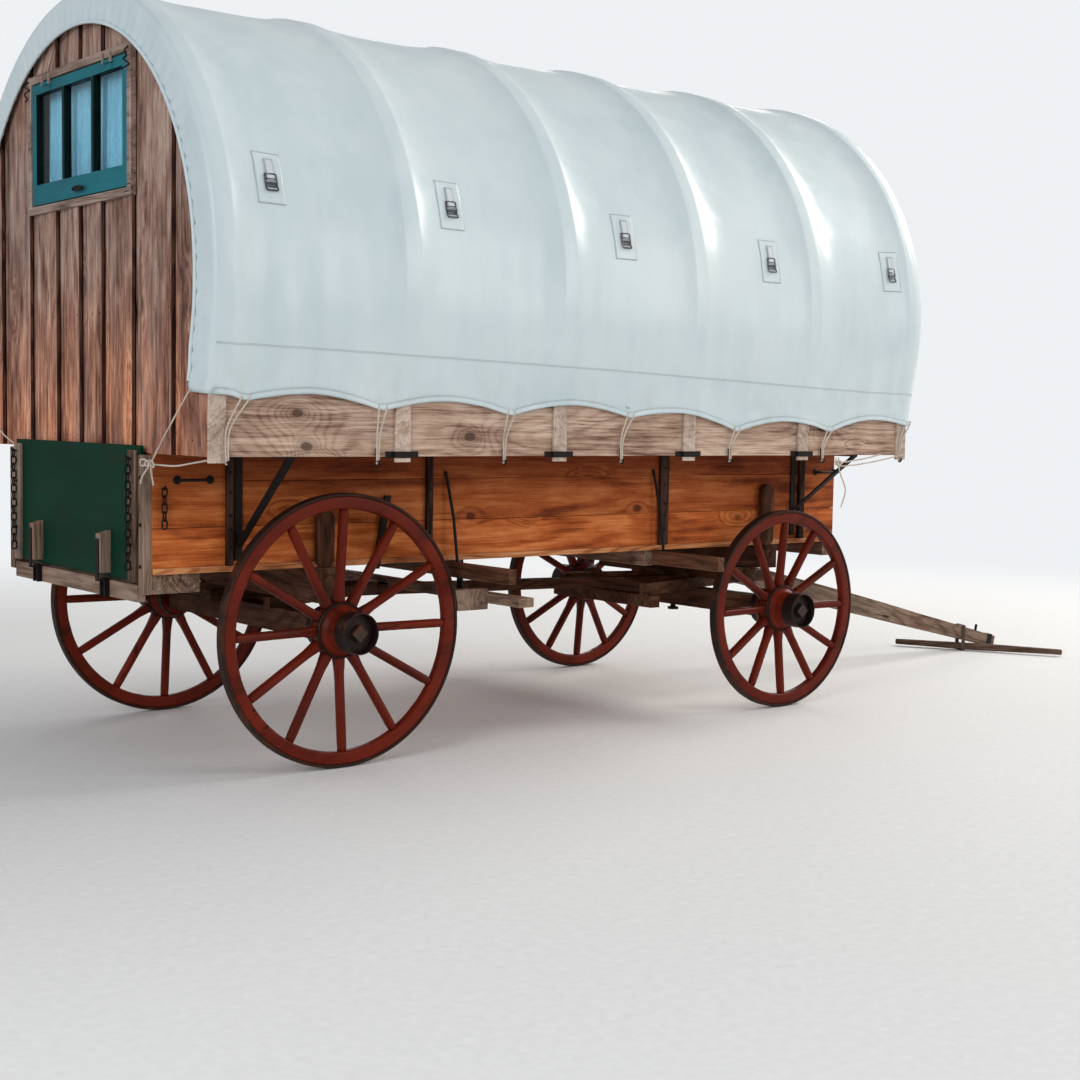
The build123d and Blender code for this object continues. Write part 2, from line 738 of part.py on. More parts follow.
seam_one = box_bottom + low_board_height
seam_two = seam_one + board_gap + wide_board_height
board_rows = (
    (box_bottom, seam_one),
    (seam_one + board_gap, seam_two),
    (seam_two + board_gap, box_top),
)
with BuildPart() as box_sides:
    for low, high in board_rows:
        block((box_rear, box_front), (box_inner, box_half), (low, high))
    mirror(about=Plane.XZ)
save(box_sides, "box_sides")

with BuildPart() as box_front_boards:
    for side in (-1, 1):
        near, far = sorted((side * door_half, side * box_inner))
        block((box_front - side_thickness, box_front), (near, far), (floor_top, box_top))
save(box_front_boards, "box_front_boards")

with BuildPart() as sill_strips:
    block((box_rear, box_front), (box_half, box_half + sill_strip_thickness),
          (box_bottom, box_bottom + sill_strip_height))
    mirror(about=Plane.XZ)
save(sill_strips, "sill_strips")

# Columns: place ahead of the rear axle, width
rib_table = ((-445.0, 31.0), (510.0, 31.0), (1880.0, 53.0), (2846.0, 38.0))
with BuildPart() as box_ribs:
    for ahead, width in rib_table:
        rib_x = rear_axle_x + ahead
        block((rib_x - width / 2, rib_x + width / 2), (box_half, box_half + rib_thickness),
              (box_bottom + sill_strip_height, box_top))
    mirror(about=Plane.XZ)
save(box_ribs, "box_ribs")

# Columns: place of the low X face ahead of the rear axle, width
sill_table = ((-769.0, 205.0), (653.0, 47.0), (1783.0, 47.0), (3040.0, 70.0))
with BuildPart() as cross_sills:
    for ahead, width in sill_table:
        low = rear_axle_x + ahead
        block((low, low + width), (-sill_half, sill_half), (sill_bottom, box_bottom))
    block((bar_back, box_rear), (-rear_bar_half, rear_bar_half), (rear_bar_low, rear_bar_high))
save(cross_sills, "cross_sills")

# Columns: place of the low X face ahead of the rear axle, brace place ahead of the rear axle
outrigger_table = ((615.0, 600.0), (1830.0, 1856.0))
outrigger_top = box_bottom - working_gap
with BuildPart() as outriggers:
    for ahead, brace_ahead in outrigger_table:
        low = rear_axle_x + ahead
        block((low, low + outrigger_thickness), (outrigger_inner, outrigger_outer),
              (outrigger_top - outrigger_height, outrigger_top))
    mirror(about=Plane.XZ)
save(outriggers, "outriggers")

with BuildPart() as brace_rods:
    for ahead, brace_ahead in outrigger_table:
        foot = Vector(rear_axle_x + ahead + outrigger_thickness / 2, box_half + brace_foot_out,
                      outrigger_top - brace_radius)
        knee = Vector(foot.X - brace_knee_out / 3, box_half + brace_knee_out, outrigger_top + brace_knee_drop)
        head = Vector(foot.X - brace_knee_out, box_half + brace_radius, brace_top)
        with BuildLine() as rod_path:
            Polyline(foot, knee, head)
        with BuildSketch(Plane(origin=foot, z_dir=knee - foot)):
            RegularPolygon(brace_radius, 8)
        sweep(transition=Transition.RIGHT)
    split(bisect_by=Plane.XY.offset(outrigger_top), keep=Keep.TOP)
    mirror(about=Plane.XZ)
save(brace_rods, "brace_rods")

# Columns: place ahead of the rear axle, height of the strut's foot
bracket_table = ((-403.0, 905.0), (2790.0, 972.0))
with BuildPart() as bench_brackets:
    for ahead, foot_z in bracket_table:
        with BuildSketch(Plane.YZ.offset(rear_axle_x + ahead - bracket_width / 2)):
            with Locations((box_half + bracket_bar / 2, (bracket_leg_bottom + box_top) / 2)):
                Rectangle(bracket_bar, box_top - bracket_leg_bottom)
            with Locations(((box_half + rail_inner) / 2, box_top - bracket_bar / 2)):
                Rectangle(rail_inner - box_half, bracket_bar)
            with BuildLine():
                Polyline((box_half, foot_z), (rail_inner - bracket_bar, box_top), (rail_inner, box_top - bracket_bar),
                         (box_half, foot_z - bracket_bar), close=True)
            make_face()
        extrude(amount=bracket_width)
    mirror(about=Plane.XZ)
save(bench_brackets, "bench_brackets")

# Benches over the wheels, with the side rails along their outer edges
inner_rear = wall_rear + batten_thickness + wall_board
inner_front = wall_front - batten_thickness - wall_board
with BuildPart() as bench_decks:
    block((inner_rear, inner_front), (deck_inner, rail_inner), (box_top, box_top + deck_thickness))
    mirror(about=Plane.XZ)
save(bench_decks, "bench_decks")

with BuildPart() as side_rails:
    block((inner_rear, inner_front), (rail_inner, rail_outer), (box_top, rail_top))
    mirror(about=Plane.XZ)
save(side_rails, "side_rails")

# Hoops bent over the wagon, outside the rails. Middle of each, ahead of the rear axle
hoop_places = (-739.0, 66.0, 859.0, 1609.0, 2356.0, 3075.0)
hoop_bottom = box_top - hoop_tail
inner_reach = 1 / cos((pi - 2 * arch_touch(-hoop_thickness)) / hoop_runs / 2)
with BuildPart() as hoops:
    for ahead in hoop_places:
        with BuildSketch(Plane.YZ.offset(rear_axle_x + ahead - hoop_width / 2)):
            add(hoop_outline(0, hoop_bottom, 1.0))
            add(hoop_outline(-hoop_thickness, hoop_bottom, inner_reach), mode=Mode.SUBTRACT)
        extrude(amount=hoop_width)
save(hoops, "hoops")

# Iron staples hold the four middle hoops to the rails
staple_half = hoop_width / 2 + seat_gap
staple_inner = hoop_foot + seat_gap
with BuildPart() as hoop_staples:
    for ahead in hoop_places[1:-1]:
        x = rear_axle_x + ahead
        foot_end = staple_half + staple_thickness + staple_reach
        with BuildSketch(Plane.XY.offset(box_top - staple_thickness)):
            with BuildLine():
                Polyline((x - foot_end, rail_outer), (x - staple_half, rail_outer), (x - staple_half, staple_inner),
                         (x + staple_half, staple_inner), (x + staple_half, rail_outer), (x + foot_end, rail_outer),
                         (x + foot_end, rail_outer + staple_thickness),
                         (x + staple_half + staple_thickness, rail_outer + staple_thickness),
                         (x + staple_half + staple_thickness, staple_inner + staple_thickness),
                         (x - staple_half - staple_thickness, staple_inner + staple_thickness),
                         (x - staple_half - staple_thickness, rail_outer + staple_thickness),
                         (x - foot_end, rail_outer + staple_thickness), close=True)
            make_face()
        extrude(amount=staple_height)
    mirror(about=Plane.XZ)
save(hoop_staples, "hoop_staples")

# Canvas cover: a shell over the hoops, turned in over each end wall as a flat lip
cover_rear = wall_rear - cover_gap - cover_thickness
cover_front = wall_front + cover_gap + cover_thickness
cover_grow = cover_gap + cover_thickness
with BuildPart() as cover:
    with BuildSketch(Plane.YZ.offset(cover_rear)):
        add(hoop_face(cover_grow, cover_bottom))
    extrude(amount=cover_front - cover_rear)
    with BuildSketch(Plane.YZ.offset(cover_rear + cover_thickness)):
        add(hoop_face(cover_gap, cover_bottom))
    extrude(amount=cover_front - cover_rear - 2 * cover_thickness, mode=Mode.SUBTRACT)
    with BuildSketch(Plane.YZ.offset(cover_rear)):
        add(hoop_face(-cover_lip, cover_bottom))
    extrude(amount=cover_front - cover_rear, mode=Mode.SUBTRACT)
save(cover, "cover")

# Rear wall: upright boards with battens over their joints, round the window
# Joints between the boards, across the wagon
rear_joints = (-877.0, -544.0, -256.0, -47.0, 173.0, 470.0, 775.0)
wall_grow = -hoop_thickness - seat_gap
window_opening = (2 * window_half, window_high - window_low)
window_middle = (0, (window_low + window_high) / 2)
casing_half = window_half + casing_width
with BuildPart() as rear_wall:
    with BuildSketch(Plane.YZ.offset(wall_rear + batten_thickness)):
        add(hoop_face(wall_grow, box_top))
        with Locations(window_middle):
            Rectangle(*window_opening, mode=Mode.SUBTRACT)
        for joint in rear_joints:
            with Locations((joint, hoop_centre_z)):
                Rectangle(board_gap, 4 * hoop_radius, mode=Mode.SUBTRACT)
    extrude(amount=wall_board)
save(rear_wall, "rear_wall")

with BuildPart() as rear_battens:
    with BuildSketch(Plane.YZ.offset(wall_rear)):
        add(hoop_face(wall_grow, box_top))
        with Locations(*[(joint, hoop_centre_z) for joint in rear_joints]):
            Rectangle(batten_width, 4 * hoop_radius, mode=Mode.INTERSECT)
        with Locations(window_middle):
            Rectangle(2 * casing_half, window_high - window_low + 2 * casing_width, mode=Mode.SUBTRACT)
    extrude(amount=batten_thickness)
save(rear_battens, "rear_battens")

# Window casing, with the ears and pins that the top-hung sash swings on
casing_outer_x = wall_rear - casing_proud
sash_rear = casing_outer_x + sash_inset
sash_hinge_x = sash_rear - sash_knuckle_radius
sash_hinge_z = window_high - sash_gap - sash_hinge_drop
sash_middles = (-sash_knuckle_offset, sash_knuckle_offset)


def hinge_ears(x_range, middle, half, z_range):
    """Two ears that hold a hinge pin, one at each end of a knuckle of this half length."""
    for end in (-1, 1):
        near, far = sorted((middle + end * (half + ear_gap), middle + end * (half + ear_gap + ear_thickness)))
        block(x_range, (near, far), z_range)


with BuildPart() as window_casing:
    with BuildSketch(Plane.YZ.offset(casing_outer_x)):
        with Locations(window_middle):
            Rectangle(2 * casing_half, window_high - window_low + 2 * casing_width)
            Rectangle(*window_opening, mode=Mode.SUBTRACT)
    extrude(amount=casing_proud + batten_thickness)
save(window_casing, "window_casing")

sash_half = window_half - sash_gap
sash_low = window_low + sash_gap
sash_high = window_high - sash_gap
light_low = sash_low + sash_bottom_rail
light_high = sash_high - sash_top_rail
lights_width = 2 * (sash_half - sash_stile)
light_width = (lights_width - (light_count - 1) * sash_mullion) / light_count
light_pitch = light_width + sash_mullion
light_middle_z = (light_low + light_high) / 2
with BuildPart() as window_sash:
    block((sash_rear, sash_rear + sash_thickness), (-sash_half, sash_half), (sash_low, sash_high))
    with BuildSketch(Plane.YZ.offset(sash_rear)):
        with Locations((0, light_middle_z)):
            with GridLocations(light_pitch, 0, light_count, 1):
                Rectangle(light_width, light_high - light_low)
    extrude(amount=sash_thickness, mode=Mode.SUBTRACT)
    for middle in sash_middles:
        span = (middle - sash_knuckle_half, middle + sash_knuckle_half)
        block((sash_rear - sash_leaf_thickness, sash_rear), span, (sash_hinge_z - sash_leaf_drop, sash_hinge_z))
        rod_y(sash_hinge_x, middle, sash_hinge_z, sash_knuckle_radius, 2 * sash_knuckle_half)
        rod_y(sash_hinge_x, middle, sash_hinge_z, sash_hinge_radius + pin_clearance, 2 * sash_knuckle_half,
              mode=Mode.SUBTRACT)
save(window_sash, "window_sash")

with BuildPart() as window_glass:
    with BuildSketch(Plane.YZ.offset(sash_rear + (sash_thickness - glass_thickness) / 2)):
        with Locations((0, light_middle_z)):
            with GridLocations(light_pitch, 0, light_count, 1):
                Rectangle(light_width, light_high - light_low)
    extrude(amount=glass_thickness)
save(window_glass, "window_glass")

# Front wall: the same boards and battens, round a two-leaf door
front_joints = (-800.0, -560.0, -107.0, 107.0, 560.0, 800.0)
door_opening = (2 * door_half, door_head - box_top)
door_middle = (0, (door_head + box_top) / 2)
with BuildPart() as front_wall:
    with BuildSketch(Plane.YZ.offset(wall_front - batten_thickness - wall_board)):
        add(hoop_face(wall_grow, box_top))
        with Locations(door_middle):
            Rectangle(*door_opening, mode=Mode.SUBTRACT)
        for joint in front_joints:
            with Locations((joint, hoop_centre_z)):
                Rectangle(board_gap, 4 * hoop_radius, mode=Mode.SUBTRACT)
    extrude(amount=wall_board)
save(front_wall, "front_wall")

with BuildPart() as front_battens:
    with BuildSketch(Plane.YZ.offset(wall_front - batten_thickness)):
        add(hoop_face(wall_grow, box_top))
        with Locations(*[(joint, hoop_centre_z) for joint in front_joints]):
            Rectangle(batten_width, 4 * hoop_radius, mode=Mode.INTERSECT)
        with Locations(door_middle):
            Rectangle(*door_opening, mode=Mode.SUBTRACT)
    extrude(amount=batten_thickness)
    door_trim = door_half + batten_width
    for side in (-1, 1):
        near, far = sorted((side * door_half, side * door_trim))
        block((wall_front - batten_thickness, wall_front), (near, far), (box_top, door_head + batten_width))
    block((wall_front - batten_thickness, wall_front), (-door_half, door_half), (door_head, door_head + batten_width))
save(front_battens, "front_battens")

# Door leaves, hinged at the left of the doorway. Columns: name, bottom, top
leaf_outer = wall_front + door_gap
door_hinge_x = leaf_outer + door_strap_thickness + door_hinge_out
door_hinge_y = door_half + door_hinge_aside
leaf_half = door_half - door_gap
hinge_eye = door_hinge_radius + door_hinge_wall
door_table = (
    ("door_lower", floor_top + door_gap, door_split - door_gap / 2),
    ("door_upper", door_split + door_gap / 2, door_head - door_gap),
)
for leaf_name, leaf_low, leaf_high in door_table:
    with BuildPart() as leaf:
        block((leaf_outer - door_thickness, leaf_outer), (-leaf_half, leaf_half), (leaf_low, leaf_high))
        for middle in (leaf_low + door_hinge_inset, leaf_high - door_hinge_inset):
            band = (middle - door_strap_height / 2, middle + door_strap_height / 2)
            block((leaf_outer, leaf_outer + door_strap_thickness), (leaf_half - door_strap_length, door_hinge_y), band)
            block((leaf_outer, door_hinge_x), (door_hinge_y - door_strap_thickness, door_hinge_y), band)
            rod_z(door_hinge_x, door_hinge_y, band, hinge_eye)
            rod_z(door_hinge_x, door_hinge_y, band, door_hinge_radius + pin_clearance, mode=Mode.SUBTRACT)
    save(leaf, leaf_name)

# Tailgate: a painted board with a cleat down each edge, hung on two iron hinges at its foot
with BuildPart() as tailgate:
    block((gate_back, gate_face), (-gate_half, gate_half), (gate_bottom, gate_top))
save(tailgate, "tailgate")

gate_cleat_back = gate_back - gate_cleat_thickness
gate_stake_back = gate_back - gate_stake_depth
gate_stake_bottom = gate_hinge_z + gate_stake_lift
with BuildPart() as tailgate_cleats:
    block((gate_cleat_back, gate_back), (gate_cleat_inner, gate_cleat_outer),
          (gate_bottom, gate_top - gate_cleat_margin))
    with BuildSketch(Plane.XZ.offset(-gate_stake_outer)):
        with BuildLine():
            Polyline((gate_back, gate_stake_bottom), (gate_back, gate_stake_top),
                     (gate_stake_back, gate_stake_top - gate_stake_slope), (gate_stake_back, gate_stake_bottom),
                     close=True)
        make_face()
    extrude(amount=gate_stake_outer - gate_stake_inner)
    mirror(about=Plane.XZ)
save(tailgate_cleats, "tailgate_cleats")

gate_hinge_x = bar_back - gate_knuckle_radius
gate_stake_middle = (gate_stake_inner + gate_stake_outer) / 2
gate_middles = (-gate_stake_middle, gate_stake_middle)
with BuildPart() as tailgate_hinges:
    for middle in gate_middles:
        span = (middle - gate_knuckle_half, middle + gate_knuckle_half)
        leaf_back = gate_stake_back - gate_leaf_thickness
        block((leaf_back, gate_stake_back), span, (gate_hinge_z - gate_leaf_thickness, gate_leaf_top))
        block((leaf_back, gate_hinge_x), span, (gate_hinge_z - gate_leaf_thickness, gate_hinge_z))
        rod_y(gate_hinge_x, middle, gate_hinge_z, gate_knuckle_radius, 2 * gate_knuckle_half)
        rod_y(gate_hinge_x, middle, gate_hinge_z, gate_hinge_radius + pin_clearance, 2 * gate_knuckle_half,
              mode=Mode.SUBTRACT)
save(tailgate_hinges, "tailgate_hinges")

# Fixed halves of the hinges: ears and pins at the window and tailgate, pintles beside the door
with BuildPart() as hinge_pins:
    for middle in sash_middles:
        rod_y(sash_hinge_x, middle, sash_hinge_z, sash_hinge_radius,
              2 * (sash_knuckle_half + ear_gap + ear_thickness))
        hinge_ears((sash_hinge_x - sash_knuckle_radius, casing_outer_x), middle, sash_knuckle_half,
                   (sash_hinge_z - sash_knuckle_radius, sash_hinge_z + sash_ear_rise))
    for middle in gate_middles:
        rod_y(gate_hinge_x, middle, gate_hinge_z, gate_hinge_radius,
              2 * (gate_knuckle_half + ear_gap + ear_thickness))
        hinge_ears((gate_hinge_x - gate_knuckle_radius, bar_back), middle, gate_knuckle_half,
                   (rear_bar_low, gate_hinge_z + gate_hinge_radius))
    for leaf_name, leaf_low, leaf_high in door_table:
        for middle in (leaf_low + door_hinge_inset, leaf_high - door_hinge_inset):
            low = middle - door_hinge_height / 2
            high = middle - door_strap_height / 2 - pin_clearance
            plate_y = (door_hinge_y - hinge_eye, door_half + batten_width)
            block((wall_front, door_hinge_x + door_hinge_radius), plate_y, (low, high))
            rod_z(door_hinge_x, door_hinge_y, (low, middle + door_strap_height / 2), door_hinge_radius)
save(hinge_pins, "hinge_pins")

# Posts at the box's rear corners
with BuildPart() as corner_posts:
    block((box_rear - corner_post_thickness, box_rear), (corner_post_inner, box_half),
          (corner_post_bottom, box_top - working_gap))
    mirror(about=Plane.XZ)
save(corner_posts, "corner_posts")


def chain_link():
    """One link in the XZ plane, long in Z: a six-sided loop of square bar, widest at its middle."""
    top = link_length / 2
    side = link_width / 2
    corner = link_end_width / 2
    with BuildPart() as link:
        with BuildSketch(Plane.XZ.offset(-link_wire / 2)) as loop:
            with BuildLine():
                Polyline((-corner, top), (corner, top), (side, 0), (corner, -top), (-corner, -top), (-side, 0),
                         close=True)
            make_face()
            offset(loop.sketch, amount=-link_wire, kind=Kind.INTERSECTION, mode=Mode.SUBTRACT)
        extrude(amount=link_wire)
    return link.part


# Columns: name, X and Y of each chain, height of its top link, number of links, direction its hook points in
chain_out = link_width / 2 + seat_gap
chain_y = (gate_cleat_inner + gate_cleat_outer) / 2
gate_chain_x = gate_cleat_back - chain_out
side_chain_x = box_rear + side_chain_inset
chain_table = (
    ("tailgate_chains", ((gate_chain_x, chain_y), (gate_chain_x, -chain_y)), 1240.0, 14, (-1, 0, 0)),
    ("side_chain", ((side_chain_x, -box_half - chain_out),), 1125.0, 5, (0, -1, 0)),
)
one_link = chain_link()
for chain_name, places, top, count, facing in chain_table:
    with BuildPart() as chain:
        for x, y in places:
            for index in range(count):
                turn = 90 * (index % 2) if facing[0] == 0 else 90 * (1 - index % 2)
                with Locations(Location((x, y, top - index * link_pitch), (0, 0, turn))):
                    add(one_link)
            hook_z = top + link_length / 2 - link_wire - hook_radius - link_slack
            hook_root = Vector(x, y, hook_z) - Vector(*facing) * chain_out
            with BuildSketch(Plane(origin=hook_root, z_dir=facing)):
                RegularPolygon(hook_radius, nut_sides)
            extrude(amount=chain_out + link_wire)
    save(chain, chain_name)

print("rear axle at X", round(rear_axle_x, 3), "front axle at X", round(front_axle_x, 3))
print("tongue slope in degrees", round(degrees(tongue_slope), 3), "front end at X", round(tongue_front + rear_axle_x, 3))
print("tongue pivot", round(tongue_pivot_x, 3), round(tongue_pivot_z, 3), "door hinge", round(door_hinge_x, 3), door_hinge_y)
print("sash hinge", round(sash_hinge_x, 3), round(sash_hinge_z, 3), "gate hinge", round(gate_hinge_x, 3), gate_hinge_z)
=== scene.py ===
import json
from math import acos, atan2, cos, hypot, pi, radians, sin, sqrt
import random

import bmesh
import bpy
import numpy as np
from mathutils import Matrix, Vector, noise


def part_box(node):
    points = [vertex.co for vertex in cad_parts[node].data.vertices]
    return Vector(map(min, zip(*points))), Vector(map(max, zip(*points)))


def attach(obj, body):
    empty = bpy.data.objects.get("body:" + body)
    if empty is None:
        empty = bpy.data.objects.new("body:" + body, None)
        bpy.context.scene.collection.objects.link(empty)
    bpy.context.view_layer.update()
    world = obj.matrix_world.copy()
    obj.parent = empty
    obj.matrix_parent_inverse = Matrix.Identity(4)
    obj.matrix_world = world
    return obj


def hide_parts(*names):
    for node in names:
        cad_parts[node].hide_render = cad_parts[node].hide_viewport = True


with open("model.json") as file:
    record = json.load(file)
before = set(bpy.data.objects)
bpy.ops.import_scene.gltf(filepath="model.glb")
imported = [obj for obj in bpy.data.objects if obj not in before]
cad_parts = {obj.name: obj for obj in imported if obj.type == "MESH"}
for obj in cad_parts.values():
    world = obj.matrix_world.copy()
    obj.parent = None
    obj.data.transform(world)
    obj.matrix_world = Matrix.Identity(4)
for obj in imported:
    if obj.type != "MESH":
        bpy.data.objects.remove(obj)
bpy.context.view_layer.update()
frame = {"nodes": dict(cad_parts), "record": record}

# The vector noise takes its places from this seed, and would take them from the clock without it
noise.seed_set(5)

# Covered wagon: plank box, canvas cover on six hoops, boarded end walls and its running gear.
# Metres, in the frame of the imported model: +X forward along the tongue, +Z up.

record = frame["record"]
body_of = {node: body for body, nodes in record["behaviour"]["bodies"].items() for node in nodes}
slot_of = {row["node"]: row["material_slot"] for row in record["subparts"]}

# Camera
camera_place = (-5.9066, -6.5401, 1.4448)
camera_yaw = -38.8835
camera_down = 4.2835
camera_roll = 0.9692
camera_lens = 55.73
sensor_width = 36.0


# Node trees

looks = {}
noise_settings = {"scale": 1.0, "detail": 3.0, "roughness": 0.55, "distortion": 0.0}


class Look:
    """One material, kept in looks by its name, with short calls for the shader nodes used here."""

    def __init__(self, name):
        self.material = bpy.data.materials.new(name)
        looks[name] = self.material
        self.material.use_nodes = True
        self.tree = self.material.node_tree
        self.tree.nodes.clear()
        self.shader = self.node("ShaderNodeBsdfPrincipled")
        output = self.node("ShaderNodeOutputMaterial")
        self.tree.links.new(self.shader.outputs[0], output.inputs["Surface"])

    def node(self, kind, **settings):
        made = self.tree.nodes.new(kind)
        for key, value in settings.items():
            setattr(made, key, value)
        return made

    def put(self, socket, value):
        """Link a socket to another one, or set its own value."""
        if isinstance(value, bpy.types.NodeSocket):
            self.tree.links.new(value, socket)
        elif hasattr(socket.default_value, "__len__") and not hasattr(value, "__len__"):
            socket.default_value = (value,) * len(socket.default_value)
        elif hasattr(value, "__len__") and len(value) == 3 and len(socket.default_value) == 4:
            socket.default_value = (*value, 1.0)
        else:
            socket.default_value = value

    def set(self, **values):
        """Set inputs of the surface shader, by name with underscores for spaces."""
        for key, value in values.items():
            self.put(self.shader.inputs[key.replace("_", " ")], value)

    def attribute(self, name, output="Fac"):
        return self.node("ShaderNodeAttribute", attribute_name=name).outputs[output]

    def where(self):
        return self.node("ShaderNodeTexCoord").outputs["Object"]

    def stretch(self, vector, factors, shift=(0.0, 0.0, 0.0)):
        made = self.node("ShaderNodeVectorMath", operation="MULTIPLY_ADD")
        self.put(made.inputs[0], vector)
        made.inputs[1].default_value = factors
        self.put(made.inputs[2], shift)
        return made.outputs[0]

    def vector(self, operation, a, b=None):
        made = self.node("ShaderNodeVectorMath", operation=operation)
        self.put(made.inputs[0], a)
        if b is not None:
            self.put(made.inputs[1], b)
        return made.outputs[1 if operation in ("DISTANCE", "LENGTH") else 0]

    def split(self, vector):
        made = self.node("ShaderNodeSeparateXYZ")
        self.put(made.inputs[0], vector)
        return made.outputs

    def join(self, x, y, z):
        made = self.node("ShaderNodeCombineXYZ")
        for socket, value in zip(made.inputs, (x, y, z)):
            self.put(socket, value)
        return made.outputs[0]

    def math(self, operation, a, b=None):
        made = self.node("ShaderNodeMath", operation=operation)
        self.put(made.inputs[0], a)
        if b is not None:
            self.put(made.inputs[1], b)
        return made.outputs[0]

    def plus(self, a, b):
        return self.math("ADD", a, b)

    def minus(self, a, b):
        return self.math("SUBTRACT", a, b)

    def times(self, a, b):
        return self.math("MULTIPLY", a, b)

    def weigh(self, *rows):
        """A half plus each value's distance from a half times its weight."""
        total = 0.5
        for value, weight in rows:
            total = self.plus(total, self.times(self.minus(value, 0.5), weight))
        return total

    def noise(self, vector, factors, shift=(0.0, 0.0, 0.0), output="Fac", **settings):
        """Soft noise in a stretched and shifted vector."""
        made = self.node("ShaderNodeTexNoise")
        self.put(made.inputs["Vector"], self.stretch(vector, factors, shift))
        for key, value in {**noise_settings, **settings}.items():
            made.inputs[key.title()].default_value = value
        return made.outputs[output]

    def cells(self, vector, factors, feature="F1"):
        """The outputs of a pattern of cells in a stretched vector."""
        made = self.node("ShaderNodeTexVoronoi", feature=feature)
        self.put(made.inputs["Vector"], self.stretch(vector, factors))
        made.inputs["Scale"].default_value = 1.0
        return made.outputs

    def band(self, value, low, high, out_low=0.0, out_high=1.0, smooth=True):
        """Map low..high to out_low..out_high, held at both ends."""
        made = self.node("ShaderNodeMapRange", interpolation_type="SMOOTHSTEP" if smooth else "LINEAR")
        self.put(made.inputs[0], value)
        for index, number in enumerate((low, high, out_low, out_high), start=1):
            self.put(made.inputs[index], number)
        return made.outputs[0]

    def ramp(self, value, *stops):
        made = self.node("ShaderNodeValToRGB")
        self.put(made.inputs[0], value)
        points = made.color_ramp.elements
        while len(points) < len(stops):
            points.new(0.5)
        for point, (place, colour) in zip(points, stops):
            point.position = place
            point.color = (*colour, 1.0)
        return made.outputs[0]

    def mix(self, share, a, b, blend="MIX"):
        made = self.node("ShaderNodeMix", data_type="RGBA", blend_type=blend)
        self.put(made.inputs[0], share)
        self.put(made.inputs[6], a)
        self.put(made.inputs[7], b)
        return made.outputs[2]

    def relief(self, height, distance, strength):
        """Let a height shape the surface's shading."""
        made = self.node("ShaderNodeBump")
        self.put(made.inputs["Height"], height)
        made.inputs["Distance"].default_value = distance
        made.inputs["Strength"].default_value = strength
        self.set(Normal=made.outputs[0])

    def toned(self, colour, low, high):
        """Make each board's colour lighter or darker by its own random tone."""
        tone = self.band(self.attribute("board"), 0.0, 1.0, low, high, smooth=False)
        return self.mix(1.0, colour, self.join(tone, tone, tone), "MULTIPLY")

    def tint(self, share, colour, factors):
        """Multiply a colour by factors, as far as the share says."""
        return self.mix(share, colour, self.mix(1.0, colour, factors, "MULTIPLY"))


def shade(colour, factor):
    """A colour made lighter or darker."""
    return tuple(min(1.0, channel * factor) for channel in colour)


